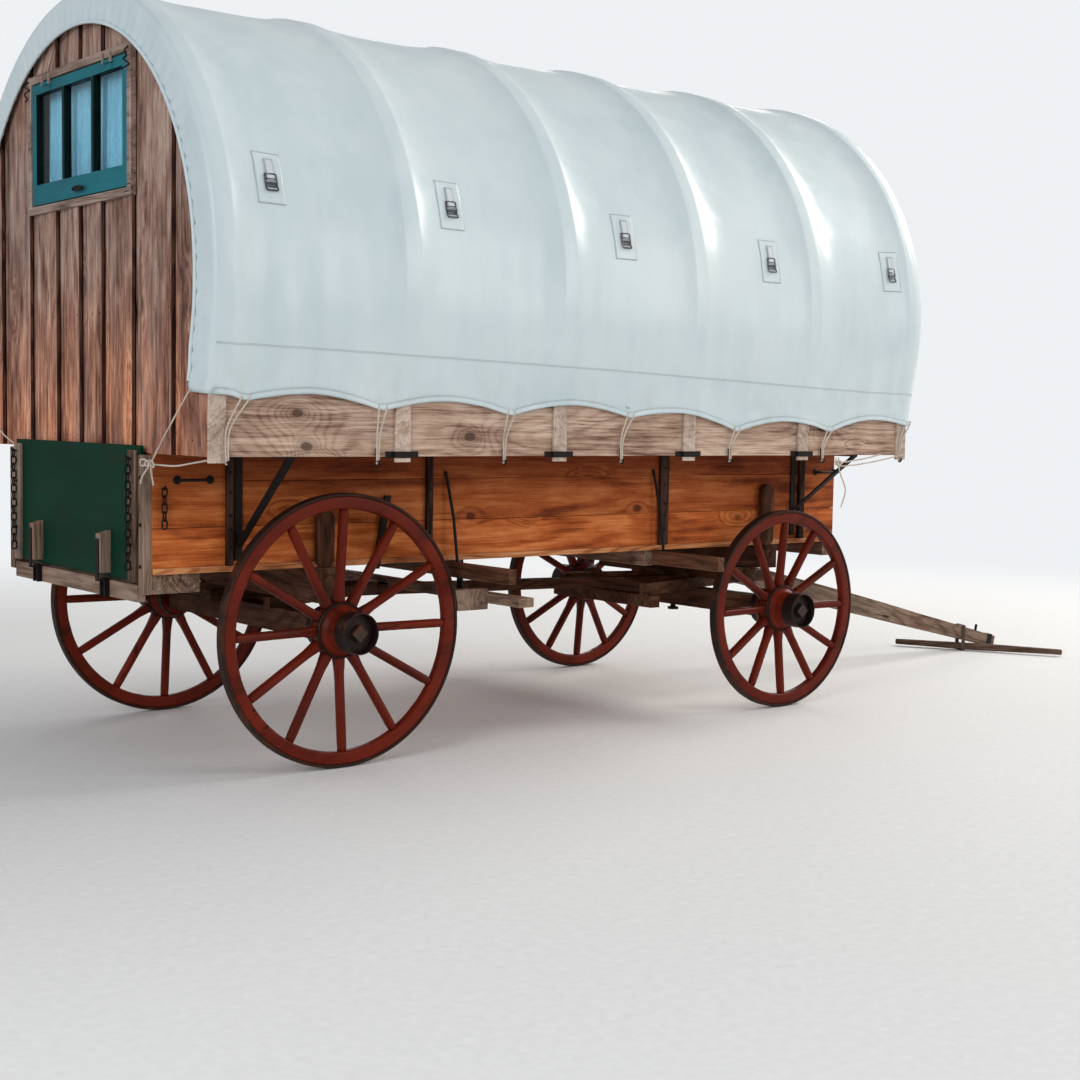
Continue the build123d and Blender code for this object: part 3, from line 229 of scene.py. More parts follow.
def wood(name, dark, mid, light, knot_share=0.0, greying=0.0, grey=(0.33, 0.30, 0.27), roughness=0.62,
         streak=0.5, cracks=0.4, vary=0.25, relief=0.0011, knots=(), figure=1.0, contrast=1.0,
         ring_count=16.0, low_tint=None, top_shade=None, length=1.0, fine=0.35, line_share=0.3,
         fleck=0.4, gloss=0.14):
    """Timber: long streaks along the grain attribute, knots, drying cracks and weathered grey patches.

    Each row of knots is a large knot's place along the wagon, its height and the reach of its rings."""
    look = Look(name)
    grain = look.attribute("grain", "Vector")
    board = look.attribute("board")
    worn_edge = look.attribute("edge")
    drift = look.noise(grain, (1.1, 3.2, 3.2), detail=2.0, output="Color")
    bent = look.vector("ADD", grain, look.stretch(drift, (0.0, 0.034, 0.034)))
    knot_spacing = (2.3, 5.6, 5.6)
    knot_cells = look.cells(grain, knot_spacing)
    knot_here = look.math("LESS_THAN", look.split(knot_cells["Color"])[0], knot_share)
    near = look.vector("DISTANCE", look.stretch(grain, knot_spacing), knot_cells["Position"])
    knot = look.times(look.band(near, 0.05, 0.13, 1.0, 0.0), knot_here)
    halo = look.times(look.band(near, 0.05, 0.42, 1.0, 0.0), knot_here)
    swirl = look.times(halo, 0.05)
    shifted = look.vector("ADD", bent, look.join(0.0, swirl, swirl))
    place = look.where()
    streaks = look.noise(shifted, (1.5 / length, 34.0, 34.0), detail=4.0, roughness=0.6, distortion=0.25)
    fibres = look.noise(shifted, (9.0, 420.0, 420.0), detail=2.0, roughness=0.7)
    lines = look.noise(shifted, (3.5, 150.0, 150.0), (4.1, 0.3, 2.2), detail=3.0, roughness=0.6)
    flecks = look.noise(shifted, (6.0 / length, 27.0, 27.0), (1.9, 6.1, 3.7), detail=5.0, roughness=0.66)
    blotch = look.noise(grain, (1.7, 4.5, 4.5), detail=3.0)
    hill = look.noise(shifted, (0.75 / figure, 4.6 / figure, 4.6 / figure), detail=1.5, roughness=0.4)
    hill = look.plus(hill, look.times(halo, 0.28))
    waver = look.noise(place, (5.0, 5.0, 9.0), detail=4.0, roughness=0.6)
    for along, height, spread_out in knots:
        off = look.stretch(look.vector("SUBTRACT", place, (along, 0.0, height)), (0.62, 0.0, 1.0))
        far = look.plus(look.vector("LENGTH", off), look.times(waver, 0.018))
        rise = look.math("EXPONENT", look.times(far, -1.7 / spread_out))
        hill = look.plus(hill, look.times(rise, 0.40))
        knot = look.math("MAXIMUM", knot, look.band(far, 0.021, 0.030, 1.0, 0.0))
        knot = look.math("MAXIMUM", knot, look.times(look.band(far, 0.026, 0.058, 0.55, 0.0), flecks))
    contour = look.math("SINE", look.plus(look.times(hill, 2 * pi * ring_count), look.times(streaks, 2.2)))
    rings = look.band(contour, -1.0, 0.1, 0.22, 0.58)
    tone = look.weigh((rings, streak), (streaks, fine), (lines, line_share), (fibres, 0.20),
                      (flecks, fleck), (blotch, 0.45))
    colour = look.ramp(tone, (0.5 - 0.20 / contrast, dark), (0.50, mid), (0.5 + 0.18 / contrast, light))
    colour = look.toned(colour, 1.0 - vary, 1.0 + vary)
    level = look.split(place)[2]
    # Painted shade: darker towards the top of a board, standing in for the shadow under an overhang
    if top_shade:
        low, high, factors = top_shade
        top = look.times(look.band(level, low, high), look.band(blotch, 0.25, 0.7, 0.75, 1.0))
        colour = look.tint(top, colour, factors)
    if low_tint:
        low, high, factors = low_tint
        bottom = look.times(look.band(level, low, high, 1.0, 0.0), look.band(blotch, 0.3, 0.7, 0.4, 1.0))
        colour = look.tint(bottom, colour, factors)
    colour = look.mix(look.times(knot, 0.85), colour, shade(dark, 0.42))
    weather = look.noise(grain, (0.9, 2.6, 2.6), (3.1, 1.7, 5.3), detail=4.0, roughness=0.65)
    age = look.plus(weather, look.times(board, 0.25))
    faded = look.band(age, 0.66 - 0.4 * greying, 0.98 - 0.4 * greying, 0.0, min(1.0, greying * 1.6))
    colour = look.mix(faded, colour, look.mix(fibres, shade(grey, 0.7), shade(grey, 1.35)))
    split_field = look.noise(bent, (0.8, 46.0, 46.0), (7.7, 2.1, 9.4), detail=1.0)
    split_gate = look.band(look.noise(grain, (2.0, 7.0, 7.0), (1.3, 8.8, 4.2)), 0.5, 0.62)
    split_line = look.math("ABSOLUTE", look.minus(split_field, 0.5))
    crack = look.times(look.times(look.band(split_line, 0.0035, 0.014, 1.0, 0.0), split_gate), cracks)
    colour = look.mix(crack, colour, shade(dark, 0.2))
    rub = look.times(worn_edge, look.band(blotch, 0.42, 0.6, 0.0, 0.6))
    colour = look.mix(rub, colour, shade(light, 1.12))
    dullness = look.band(tone, 0.3, 0.7, roughness + 0.12, roughness - 0.08)
    look.set(Base_Color=colour, Roughness=dullness, Specular_IOR_Level=gloss)
    height = look.minus(look.plus(look.times(rings, 0.7), look.times(fibres, 0.3)), look.times(crack, 1.2))
    look.relief(height, relief, 0.9)


def paint(name, colour, under, chips=0.35, roughness=0.42, fade=0.25, gloss=0.3, dirt=0.35):
    """Brushed paint over timber, chipped along edges and in spots, with the wood showing through."""
    look = Look(name)
    grain = look.attribute("grain", "Vector")
    worn_edge = look.attribute("edge")
    cloud = look.noise(grain, (2.2, 6.0, 6.0), detail=4.0, roughness=0.6)
    strokes = look.noise(grain, (5.0, 170.0, 170.0), detail=3.0, roughness=0.6)
    wood_lines = look.noise(grain, (2.0, 90.0, 90.0), detail=3.0)
    tint = look.plus(look.times(cloud, 0.7), look.times(strokes, 0.3))
    faded, fresh = shade(colour, 1.0 - fade), shade(colour, 1.0 + fade)
    painted = look.toned(look.ramp(tint, (0.28, faded), (0.5, colour), (0.72, fresh)), 0.86, 1.12)
    bare = look.ramp(wood_lines, (0.35, shade(under, 0.55)), (0.6, under))
    spots = look.noise(grain, (16.0, 48.0, 48.0), (2.2, 7.1, 3.3), detail=5.0, roughness=0.65)
    patch = look.plus(spots, look.times(look.minus(cloud, 0.5), 0.6))
    chip = look.band(patch, 0.74 - 0.12 * chips, 0.77 - 0.12 * chips)
    edge_chip = look.times(worn_edge, look.band(patch, 0.62 - 0.22 * chips, 0.68 - 0.22 * chips))
    gone = look.math("MAXIMUM", chip, edge_chip)
    surface = look.mix(gone, painted, bare)
    soil = look.noise(grain, (3.0, 9.0, 9.0), (5.0, 1.0, 2.0), detail=5.0)
    surface = look.mix(look.band(soil, 0.5, 0.75, 0.0, dirt), surface, shade(under, 0.45))
    dullness = look.band(gone, 0.0, 1.0, roughness, 0.78)
    look.set(Base_Color=surface, Roughness=dullness, Specular_IOR_Level=gloss)
    height = look.minus(look.times(strokes, 0.5), look.times(gone, 0.9))
    look.relief(height, 0.0004, 0.8)


def iron(name, colour, rust, rust_share=0.35, roughness=0.55):
    """Forged iron: hammered and pitted, with rust in patches and brighter edges."""
    look = Look(name)
    place = look.where()
    patches = look.noise(place, (9.0,) * 3, detail=6.0, roughness=0.68)
    pits = look.noise(place, (140.0,) * 3, detail=3.0, roughness=0.7)
    dents = look.cells(place, (46.0,) * 3, "SMOOTH_F1")["Distance"]
    rust_start = 0.78 - 0.3 * rust_share
    rusty = look.band(look.plus(patches, look.times(pits, 0.25)), rust_start, rust_start + 0.14)
    metal = look.ramp(pits, (0.3, shade(colour, 0.65)), (0.55, colour), (0.75, shade(colour, 1.5)))
    rusted = look.ramp(pits, (0.3, shade(rust, 0.55)), (0.7, rust))
    surface = look.mix(rusty, metal, rusted)
    surface = look.mix(look.times(look.attribute("edge"), 0.35), surface, shade(colour, 2.6))
    look.set(Base_Color=surface, Metallic=look.band(rusty, 0.0, 1.0, 0.55, 0.1))
    look.set(Roughness=look.band(rusty, 0.0, 1.0, roughness, 0.85), Specular_IOR_Level=0.25)
    height = look.plus(look.times(pits, 0.35), look.times(dents, 0.65))
    look.relief(height, 0.0007, 0.7)


def canvas(name, deep, plain, pale, roughness=0.4, thread=0.0016, coat=0.0):
    """Coated canvas: weave, soft clouding, stains towards the hem, stitched lines on sewn strips and a
    painted shade along the strips' edges.
    """
    look = Look(name)
    cloth = look.split(look.attribute("cloth", "Vector"))
    place = look.where()
    clouds = look.noise(place, (0.9, 0.9, 0.9), detail=4.0, roughness=0.6)
    mottle = look.noise(place, (5.0, 5.0, 3.2), (4.0, 1.0, 2.0), detail=5.0, roughness=0.65)
    runs = look.noise(place, (11.0, 11.0, 1.1), (7.0, 3.0, 5.0), detail=3.0)
    tone = look.plus(look.times(clouds, 0.55), look.plus(look.times(mottle, 0.25), look.times(runs, 0.20)))
    colour = look.ramp(tone, (0.34, deep), (0.50, plain), (0.66, pale))
    low = look.band(look.split(place)[2], 1.42, 1.75, 1.0, 0.0)
    grime = look.times(look.band(mottle, 0.48, 0.68), look.plus(look.times(low, 0.35), 0.06))
    colour = look.mix(look.times(grime, 0.5), colour, (0.36, 0.33, 0.28))
    warp, weft = (look.math("SINE", look.times(cloth[k], 2 * pi / thread)) for k in (0, 1))
    across = look.math("ABSOLUTE", look.minus(cloth[1], 0.0042))
    dash = look.band(look.math("SINE", look.times(cloth[0], 2 * pi / 0.0085)), -0.5, 0.0)
    stitch = look.times(look.times(look.band(across, 0.0010, 0.0020, 1.0, 0.0), dash), cloth[2])
    colour = look.mix(look.times(stitch, 0.6), colour, shade(deep, 0.40))
    # Painted shade: a dark line along each sewn strip's edges, where it stands off the cloth
    strip_edge_shade = look.times(look.band(cloth[1], 0.0006, 0.0030, 1.0, 0.0), cloth[2])
    colour = look.mix(look.times(strip_edge_shade, 0.45), colour, shade(deep, 0.30))
    look.set(Base_Color=colour, Roughness=look.band(mottle, 0.35, 0.65, roughness - 0.05, roughness + 0.10))
    look.set(Specular_IOR_Level=0.32, Sheen_Weight=0.10, Sheen_Roughness=0.5)
    look.set(Coat_Weight=coat, Coat_Roughness=0.21)
    crush = look.noise(place, (23.0, 23.0, 23.0), detail=4.0, roughness=0.55)
    height = look.plus(look.times(look.times(warp, weft), 0.10), look.times(crush, 0.9))
    look.relief(look.minus(height, look.times(stitch, 0.5)), 0.0011, 0.5)


def cord(name, colour, dirt):
    """Laid rope: fibres across each strand and dirt in the hollows."""
    look = Look(name)
    place = look.where()
    fibre = look.noise(place, (260.0, 260.0, 120.0), detail=3.0)
    patch = look.noise(place, (14.0, 14.0, 9.0), detail=4.0)
    base = look.ramp(fibre, (0.3, shade(colour, 0.72)), (0.6, colour), (0.8, shade(colour, 1.15)))
    look.set(Base_Color=look.mix(look.band(patch, 0.45, 0.75, 0.0, 0.55), base, dirt), Roughness=0.75)
    look.relief(fibre, 0.0006, 0.7)


def metal_buckle(name):
    """Blackened steel worn bright on its high points."""
    look = Look(name)
    place = look.where()
    worn_spots = look.noise(place, (170.0, 170.0, 170.0), detail=3.0)
    look.set(Base_Color=look.ramp(worn_spots, (0.42, (0.03, 0.028, 0.035)), (0.62, (0.16, 0.15, 0.17))))
    look.set(Metallic=look.band(worn_spots, 0.4, 0.6, 0.55, 0.95))
    look.set(Roughness=look.band(worn_spots, 0.4, 0.6, 0.45, 0.25))
    look.relief(worn_spots, 0.0003, 0.6)


def old_glass(name):
    """Thin window glass, slightly wavy, with a film of dust."""
    look = Look(name)
    place = look.where()
    wave = look.noise(place, (5.0, 5.0, 3.0), detail=2.0)
    dust = look.noise(place, (34.0, 34.0, 34.0), detail=5.0)
    look.set(Base_Color=look.ramp(dust, (0.3, (0.93, 0.97, 0.97)), (0.75, (0.80, 0.86, 0.85))))
    look.set(Roughness=look.band(dust, 0.4, 0.75, 0.02, 0.16), Transmission_Weight=1.0, IOR=1.1)
    look.relief(wave, 0.002, 0.3)


def leather(name, colour):
    """Worn harness leather with creases and scuffs."""
    look = Look(name)
    place = look.where()
    grains = look.cells(place, (420.0, 420.0, 420.0))["Distance"]
    scuff = look.noise(place, (40.0, 40.0, 18.0), detail=5.0)
    colours = look.ramp(scuff, (0.3, shade(colour, 0.6)), (0.55, colour), (0.75, shade(colour, 2.0)))
    look.set(Base_Color=colours)
    look.set(Roughness=look.band(scuff, 0.3, 0.7, 0.5, 0.75))
    look.relief(grains, 0.0005, 0.6)


paint("red_wheel_paint", (0.120, 0.0115, 0.0040), (0.062, 0.016, 0.008), chips=0.50, fade=0.55, gloss=0.11,
      dirt=0.75)
looks["red_wood"] = looks["red_wheel_paint"]
iron("tyre_iron", (0.036, 0.018, 0.013), (0.085, 0.026, 0.012), rust_share=0.5, roughness=0.6)
iron("hub_iron", (0.024, 0.015, 0.013), (0.07, 0.022, 0.010), roughness=0.5)
wood("gear_wood", (0.022, 0.009, 0.005), (0.072, 0.028, 0.014), (0.150, 0.068, 0.038), greying=0.12,
     grey=(0.18, 0.125, 0.09), cracks=0.9, gloss=0.08, streak=0.25)
wood("weathered_wood", (0.042, 0.021, 0.013), (0.165, 0.096, 0.064), (0.31, 0.205, 0.145), greying=0.28,
     grey=(0.26, 0.215, 0.175), cracks=1.0, contrast=1.1, line_share=0.5, knot_share=0.12, streak=0.24)
iron("black_iron", (0.014, 0.011, 0.010), (0.06, 0.022, 0.011), rust_share=0.25, roughness=0.6)
# Box boards, with a painted shade along the top of the sides, as under the overhanging side rails
wood("box_wood", (0.150, 0.026, 0.0055), (0.430, 0.102, 0.0215), (0.620, 0.215, 0.062), knot_share=0.08,
     roughness=0.5, streak=0.30, cracks=0.25, vary=0.16, figure=1.8, length=0.8, fine=0.45, fleck=0.35,
     ring_count=9.0, gloss=0.10, knots=((-1.557, 0.998, 0.045), (-0.579, 1.012, 0.04)),
     top_shade=(1.06, 1.27, (0.42, 0.30, 0.24)))
wood("dark_wood", (0.012, 0.006, 0.004), (0.032, 0.014, 0.009), (0.070, 0.033, 0.020), greying=0.1,
     grey=(0.14, 0.10, 0.08), gloss=0.08)
wood("pale_strip", (0.22, 0.062, 0.018), (0.42, 0.155, 0.055), (0.56, 0.27, 0.12), roughness=0.5)
wood("rail_wood", (0.175, 0.092, 0.060), (0.485, 0.318, 0.230), (0.70, 0.520, 0.405), knot_share=0.22,
     greying=0.22, grey=(0.36, 0.31, 0.27), streak=0.20, cracks=0.6, vary=0.12, figure=1.6, ring_count=26.0,
     line_share=0.55, fine=0.5, fleck=0.5,
     knots=((-2.701, 1.436, 0.115), (-2.66, 1.312, 0.06), (-1.901, 1.351, 0.06), (0.2, 1.40, 0.08)))
wood("wall_wood", (0.090, 0.038, 0.025), (0.300, 0.172, 0.130), (0.52, 0.370, 0.300), knot_share=0.42,
     greying=0.24, grey=(0.44, 0.37, 0.33), streak=0.13, cracks=1.3, vary=0.32, contrast=1.15, figure=1.6,
     relief=0.0016, low_tint=(1.35, 2.15, (1.70, 1.02, 0.64)), length=0.9, fine=0.42, line_share=0.40,
     fleck=0.62, ring_count=10.0)
paint("teal_paint", (0.010, 0.150, 0.185), (0.10, 0.11, 0.10), chips=0.2, roughness=0.5, gloss=0.15)
paint("green_paint", (0.0025, 0.030, 0.0150), (0.05, 0.035, 0.02), chips=0.25, roughness=0.6, gloss=0.08)
# Painted shade for the wall boards' side faces
wood("board_side_shade", (0.030, 0.012, 0.008), (0.075, 0.032, 0.021), (0.15, 0.075, 0.052), cracks=0.6,
     gloss=0.08)
wood("gap_shade", (0.004, 0.002, 0.0015), (0.008, 0.004, 0.003), (0.014, 0.008, 0.006), cracks=0.2,
     gloss=0.03)
# The cover's blue-grey is partly the canvas's own pale colour and partly painted skylight shade
canvas("canvas", (0.52, 0.62, 0.645), (0.605, 0.70, 0.72), (0.685, 0.755, 0.76), roughness=0.52, coat=0.35)
wood("front_wood", (0.075, 0.034, 0.024), (0.195, 0.105, 0.075), (0.32, 0.205, 0.155), knot_share=0.35,
     greying=0.2, grey=(0.30, 0.245, 0.21), streak=0.13, cracks=1.2, vary=0.30, figure=1.6, relief=0.0014,
     line_share=0.35, fleck=0.35, ring_count=10.0)
canvas("curtain", (0.12, 0.34, 0.50), (0.22, 0.52, 0.70), (0.36, 0.68, 0.84), roughness=0.75)
wood("leg_wood", (0.30, 0.20, 0.145), (0.53, 0.405, 0.325), (0.69, 0.565, 0.47), greying=0.2,
     grey=(0.48, 0.44, 0.40), cracks=0.5, line_share=0.5, streak=0.2)
# Painted shade: near-black teal for the window's reveals and its lining
paint("reveal_shade", (0.003, 0.012, 0.011), (0.02, 0.02, 0.017), chips=0.1, roughness=0.6, gloss=0.08)
# A darker teal for the faces of the sash's upright bars
paint("dark_bar_teal", (0.004, 0.030, 0.034), (0.03, 0.04, 0.035), chips=0.25, roughness=0.6, gloss=0.10)
canvas("webbing", (0.50, 0.56, 0.60), (0.62, 0.67, 0.70), (0.72, 0.76, 0.78), roughness=0.55, thread=0.003)
cord("rope", (0.66, 0.56, 0.47), (0.33, 0.24, 0.18))
iron("nut_iron", (0.048, 0.034, 0.029), (0.11, 0.040, 0.020), rust_share=0.4, roughness=0.45)
metal_buckle("buckle")
old_glass("window_glass")
leather("strap_leather", (0.075, 0.042, 0.026))
wood("trim_wood", (0.12, 0.072, 0.054), (0.33, 0.235, 0.190), (0.50, 0.385, 0.32), greying=0.3,
     grey=(0.38, 0.33, 0.30), cracks=1.0, streak=0.14, line_share=0.4)


# Meshes

def new_object(name, data):
    """An object in the scene that holds this mesh, lamp or camera."""
    piece = bpy.data.objects.new(name, data)
    bpy.context.scene.collection.objects.link(piece)
    return piece


def mesh_from(bm, name):
    """A mesh that holds what was built, which is let go."""
    mesh = bpy.data.meshes.new(name)
    bm.to_mesh(mesh)
    bm.free()
    return mesh


def face_outward(bm):
    bmesh.ops.recalc_face_normals(bm, faces=bm.faces)


def long_axis(points):
    """Unit vectors along, across and through a group of points, longest spread first."""
    centred = points - points.mean(axis=0)
    return np.linalg.eigh(centred.T @ centred)[1][:, ::-1]


def loose_parts(mesh):
    """Number each vertex of a mesh by the loose part that it belongs to, and give all their places."""
    count = len(mesh.vertices)
    points = np.zeros(count * 3)
    mesh.vertices.foreach_get("co", points)
    group = np.arange(count)
    edges = np.zeros(len(mesh.edges) * 2, dtype=int)
    mesh.edges.foreach_get("vertices", edges)
    edges = edges.reshape(-1, 2)
    while True:
        low = np.minimum(group[edges[:, 0]], group[edges[:, 1]])
        before = group.copy()
        np.minimum.at(group, edges[:, 0], low)
        np.minimum.at(group, edges[:, 1], low)
        group = group[group]
        if (group == before).all():
            return group, points.reshape(-1, 3)


def add_grain(mesh, seed=0):
    """Give every loose board of a mesh its grain coordinates and its own random tone."""
    group, points = loose_parts(mesh)
    grain = np.zeros((len(points), 3))
    board = np.zeros(len(points))
    for name in np.unique(group):
        chosen = group == name
        part = points[chosen]
        draw = random.Random(f"{seed} {np.round(part.mean(axis=0), 2).tolist()}")
        axes = long_axis(part) if len(part) > 2 else np.eye(3)
        shift = [draw.uniform(0.0, 20.0) for _ in range(3)]
        grain[chosen] = part @ axes + shift
        board[chosen] = draw.random()
    mesh.attributes.new("grain", "FLOAT_VECTOR", "POINT").data.foreach_set("vector", grain.ravel())
    mesh.attributes.new("board", "FLOAT", "POINT").data.foreach_set("value", board)


def welded(node):
    """A CAD node's own facets as one joined mesh, to measure or to work on."""
    bm = bmesh.new()
    bm.from_mesh(frame["nodes"][node].data)
    for layer in list(bm.loops.layers.uv):
        bm.loops.layers.uv.remove(layer)
    bmesh.ops.remove_doubles(bm, verts=bm.verts, dist=1e-5)
    return bm


def second_look(piece, look, chosen):
    """Give another material to the faces whose middle and normal are chosen."""
    piece.data.materials.append(looks[look])
    slot = len(piece.data.materials) - 1
    for face in piece.data.polygons:
        if chosen(face.center, face.normal):
            face.material_index = slot


def turn_nuts(piece, node):
    """Stand the axle's square nuts on their corners, as they were last tightened."""
    low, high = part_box(node)
    middle_x, middle_z = (low[0] + high[0]) / 2, (low[2] + high[2]) / 2
    for vertex in piece.data.vertices:
        x, z = vertex.co.x - middle_x, vertex.co.z - middle_z
        if high[1] - abs(vertex.co.y) < 0.030 and hypot(x, z) > 0.0275:
            vertex.co.x = middle_x + (x - z) * cos(pi / 4)
            vertex.co.z = middle_z + (x + z) * cos(pi / 4)


def parts_of(node):
    """The vertex places of each separate solid of a CAD node, as a list of arrays."""
    mesh = mesh_from(welded(node), "measure")
    group, points = loose_parts(mesh)
    bpy.data.meshes.remove(mesh)
    return [points[group == name] for name in np.unique(group)]


def finish_mesh(bm, name, bevel=0.0, angle=30.0, seed=0):
    """Round a mesh's sharp edges, mark them as edges that wear, and turn it into an object."""
    edge_layer = bm.faces.layers.float.new("edge")
    if bevel:
        bm.normal_update()
        sharp = [e for e in bm.edges if len(e.link_faces) == 2 and e.calc_face_angle(0.0) > radians(angle)]
        made = bmesh.ops.bevel(bm, geom=sharp, offset=bevel, segments=2, profile=0.5, affect="EDGES",
                               clamp_overlap=True)
        for face in made["faces"]:
            face[edge_layer] = 1.0
    for face in bm.faces:
        face.smooth = True
    mesh = mesh_from(bm, name)
    add_grain(mesh, seed)
    piece = new_object(name, mesh)
    normals = piece.modifiers.new("normals", "WEIGHTED_NORMAL")
    normals.keep_sharp = True
    normals.weight = 80
    return piece


def dress(piece, body, slot, look=None, stands_for=()):
    """Hang a finished piece on what it rides on, give it its own look or else its slot's material, and hide
    what it replaces.
    """
    piece.data.materials.append(looks[look or slot])
    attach(piece, body)
    if stands_for:
        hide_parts(*stands_for)
    return piece


def finished(bm, name, body, slot, look=None, stands_for=(), **shape):
    """Turn a mesh into an object and dress it."""
    return dress(finish_mesh(bm, name, **shape), body, slot, look, stands_for)


def worn(node, bevel, wobble, step, look):
    """A copy of a node with rounded edges, slightly uneven faces and grain, which takes its place."""
    bm = welded(node)
    bmesh.ops.dissolve_limit(bm, angle_limit=radians(0.6), verts=bm.verts, edges=bm.edges)
    if wobble:
        low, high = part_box(node)
        axis = max(range(3), key=lambda k: high[k] - low[k])
        normal = Vector([float(k == axis) for k in range(3)])
        place = low[axis] + step
        while place < high[axis] - 0.3 * step:
            everything = bm.verts[:] + bm.edges[:] + bm.faces[:]
            bmesh.ops.bisect_plane(bm, geom=everything, plane_co=normal * place, plane_no=normal, dist=1e-5)
            place += step
    piece = finish_mesh(bm, f"{node}_worn", bevel, seed=node)
    if wobble:
        for vertex in piece.data.vertices:
            vertex.co += wobble * noise.noise_vector(vertex.co * 2.3)
    return dress(piece, body_of[node], slot_of[node], look, (node,))


def skin(bm, rings, close=False, caps=False):
    """Join rings of points, each as long as the next, by four-sided faces."""
    made = [[bm.verts.new(point) for point in ring] for ring in rings]
    pairs = list(zip(made[:-1], made[1:]))
    if close:
        pairs.append((made[-1], made[0]))
    count = len(made[0])
    for one, two in pairs:
        for k in range(count):
            after = (k + 1) % count
            bm.faces.new((one[k], one[after], two[after], two[k]))
    if caps:
        bm.faces.new(made[0][::-1])
        bm.faces.new(made[-1])


def turned(bm, profile, x, z, segments):
    """Turn a closed profile of (radius, place along Y) about an axis along Y at x and z."""
    turns = [2 * pi * k / segments for k in range(segments)]
    rings = [[(x + radius * cos(a), y, z + radius * sin(a)) for a in turns] for radius, y in profile]
    skin(bm, rings, close=True)


def follow(path, radius, sides=8):
    """Rings of a round bar that follows a path."""
    points = [Vector(point) for point in path]
    normal = None
    rings = []
    for k, point in enumerate(points):
        ahead = (points[min(k + 1, len(points) - 1)] - points[max(k - 1, 0)]).normalized()
        if normal is None:
            normal = ahead.orthogonal().normalized()
        normal = (normal - ahead * normal.dot(ahead)).normalized()
        side = ahead.cross(normal)
        angles = [2 * pi * j / sides for j in range(sides)]
        rings.append([point + radius * (cos(a) * normal + sin(a) * side) for a in angles])
    return rings


def bar(bm, path, radius, sides=8):
    """A round bar with closed ends along a path."""
    skin(bm, follow(path, radius, sides), caps=True)


def smooth_path(points, steps=6):
    """A smooth curve through given points, as evenly stepped points."""
    curve = []
    ends = [Vector(points[0])] + [Vector(point) for point in points] + [Vector(points[-1])]
    for before, one, two, after in zip(ends[:-3], ends[1:-2], ends[2:-1], ends[3:]):
        for k in range(steps):
            u = k / steps
            second = 2 * before - 5 * one + 4 * two - after
            third = 3 * one - before - 3 * two + after
            curve.append(0.5 * (2 * one + (two - before) * u + second * u * u + third * u ** 3))
    curve.append(Vector(points[-1]))
    return curve


rope_radius = 0.0036
rope_strands = 3
# Length of a strand's full turn, in diameters of the rope
rope_pitch = 5.0


def strands(bm, path):
    """A laid rope along a path, whose strands wind round each other."""
    points = [Vector(point) for point in path]
    lengths = [0.0]
    for one, two in zip(points[:-1], points[1:]):
        lengths.append(lengths[-1] + (two - one).length)
    steps = max(4, int(lengths[-1] / (rope_radius * 1.5)))
    even = []
    for k in range(steps + 1):
        want = lengths[-1] * k / steps
        index = max(i for i, value in enumerate(lengths[:-1]) if value <= want + 1e-9)
        span = lengths[index + 1] - lengths[index]
        even.append(points[index].lerp(points[index + 1], (want - lengths[index]) / span if span else 0.0))
    core = follow(even, rope_radius * 0.52, rope_strands)
    for strand in range(rope_strands):
        winding = []
        for k, ring in enumerate(core):
            centre = even[k]
            normal = (ring[0] - centre).normalized()
            side = (ring[1] - centre) - normal * (ring[1] - centre).dot(normal)
            side.normalize()
            turn = 2 * pi * (strand / rope_strands + lengths[-1] * k / steps / (2 * rope_radius * rope_pitch))
            winding.append(centre + rope_radius * 0.5 * (cos(turn) * normal + sin(turn) * side))
        bar(bm, winding, rope_radius * 0.56, 6)


def mean_place(part):
    return (part.min(axis=0) + part.max(axis=0)) / 2


# Cover: one sheet over the hoops, turned in at both ends, sagging between the hoops

hoop_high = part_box("hoops")[1]
hoop_places = sorted(float(mean_place(part)[0]) for part in parts_of("hoops"))
hoop_half = hoop_high[0] - hoop_places[-1]
arch_radius = 1.185
arch_centre = hoop_high[2] - arch_radius
leg_half = 1.125
knee_height = 1.480
drop = arch_centre - knee_height
reach = hypot(leg_half, drop)
touch = atan2(drop, leg_half) - acos(arch_radius / reach)
arc_length = arch_radius * (pi / 2 + touch)
slant_length = sqrt(reach ** 2 - arch_radius ** 2)
cover_rear, cover_front = (corner[0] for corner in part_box("cover"))
cover_turn = 0.018
lip_width = 0.142
cloth_off = 0.0015
cloth_thickness = 0.0022
sag_depth = 0.031
sag_power = 4.4
hem_rise = 0.078
# Where a rope draws the hem down: place along the wagon, height of the hem there
hem_lashes = ((-3.075, 1.500), (-2.930, 1.476), (-2.333, 1.449), (-1.706, 1.438), (-1.052, 1.437),
              (-0.398, 1.383), (0.238, 1.385), (0.812, 1.418))


def ease(value, low, high):
    share = np.clip((value - low) / (high - low), 0.0, 1.0)
    return share * share * (3.0 - 2.0 * share)


def field(x, t, scale, shift=0.0, stretch=1.0):
    """Smooth random heights from -1 to 1 over the cloth."""
    places = zip(x.ravel(), t.ravel())
    flat = [noise.noise(Vector((a * scale + shift, b * scale * stretch, shift))) for a, b in places]
    return np.array(flat).reshape(x.shape)


def on_arch(t):
    """Place and outward direction on the hoops' outer faces, t metres round from the crown."""
    far = np.abs(t)
    side = np.sign(t)
    turn = np.minimum(far, arc_length) / arch_radius
    slant = np.clip(far - arc_length, 0.0, slant_length)
    leg = np.maximum(far - arc_length - slant_length, 0.0)
    y = arch_radius * np.sin(turn) - slant * sin(touch)
    z = arch_centre + arch_radius * np.cos(turn) - slant * cos(touch) - leg
    lean = turn - touch * ease(far, arc_length + slant_length - 0.09, arc_length + slant_length + 0.03)
    return side * y, z, side * np.sin(lean), np.cos(lean)


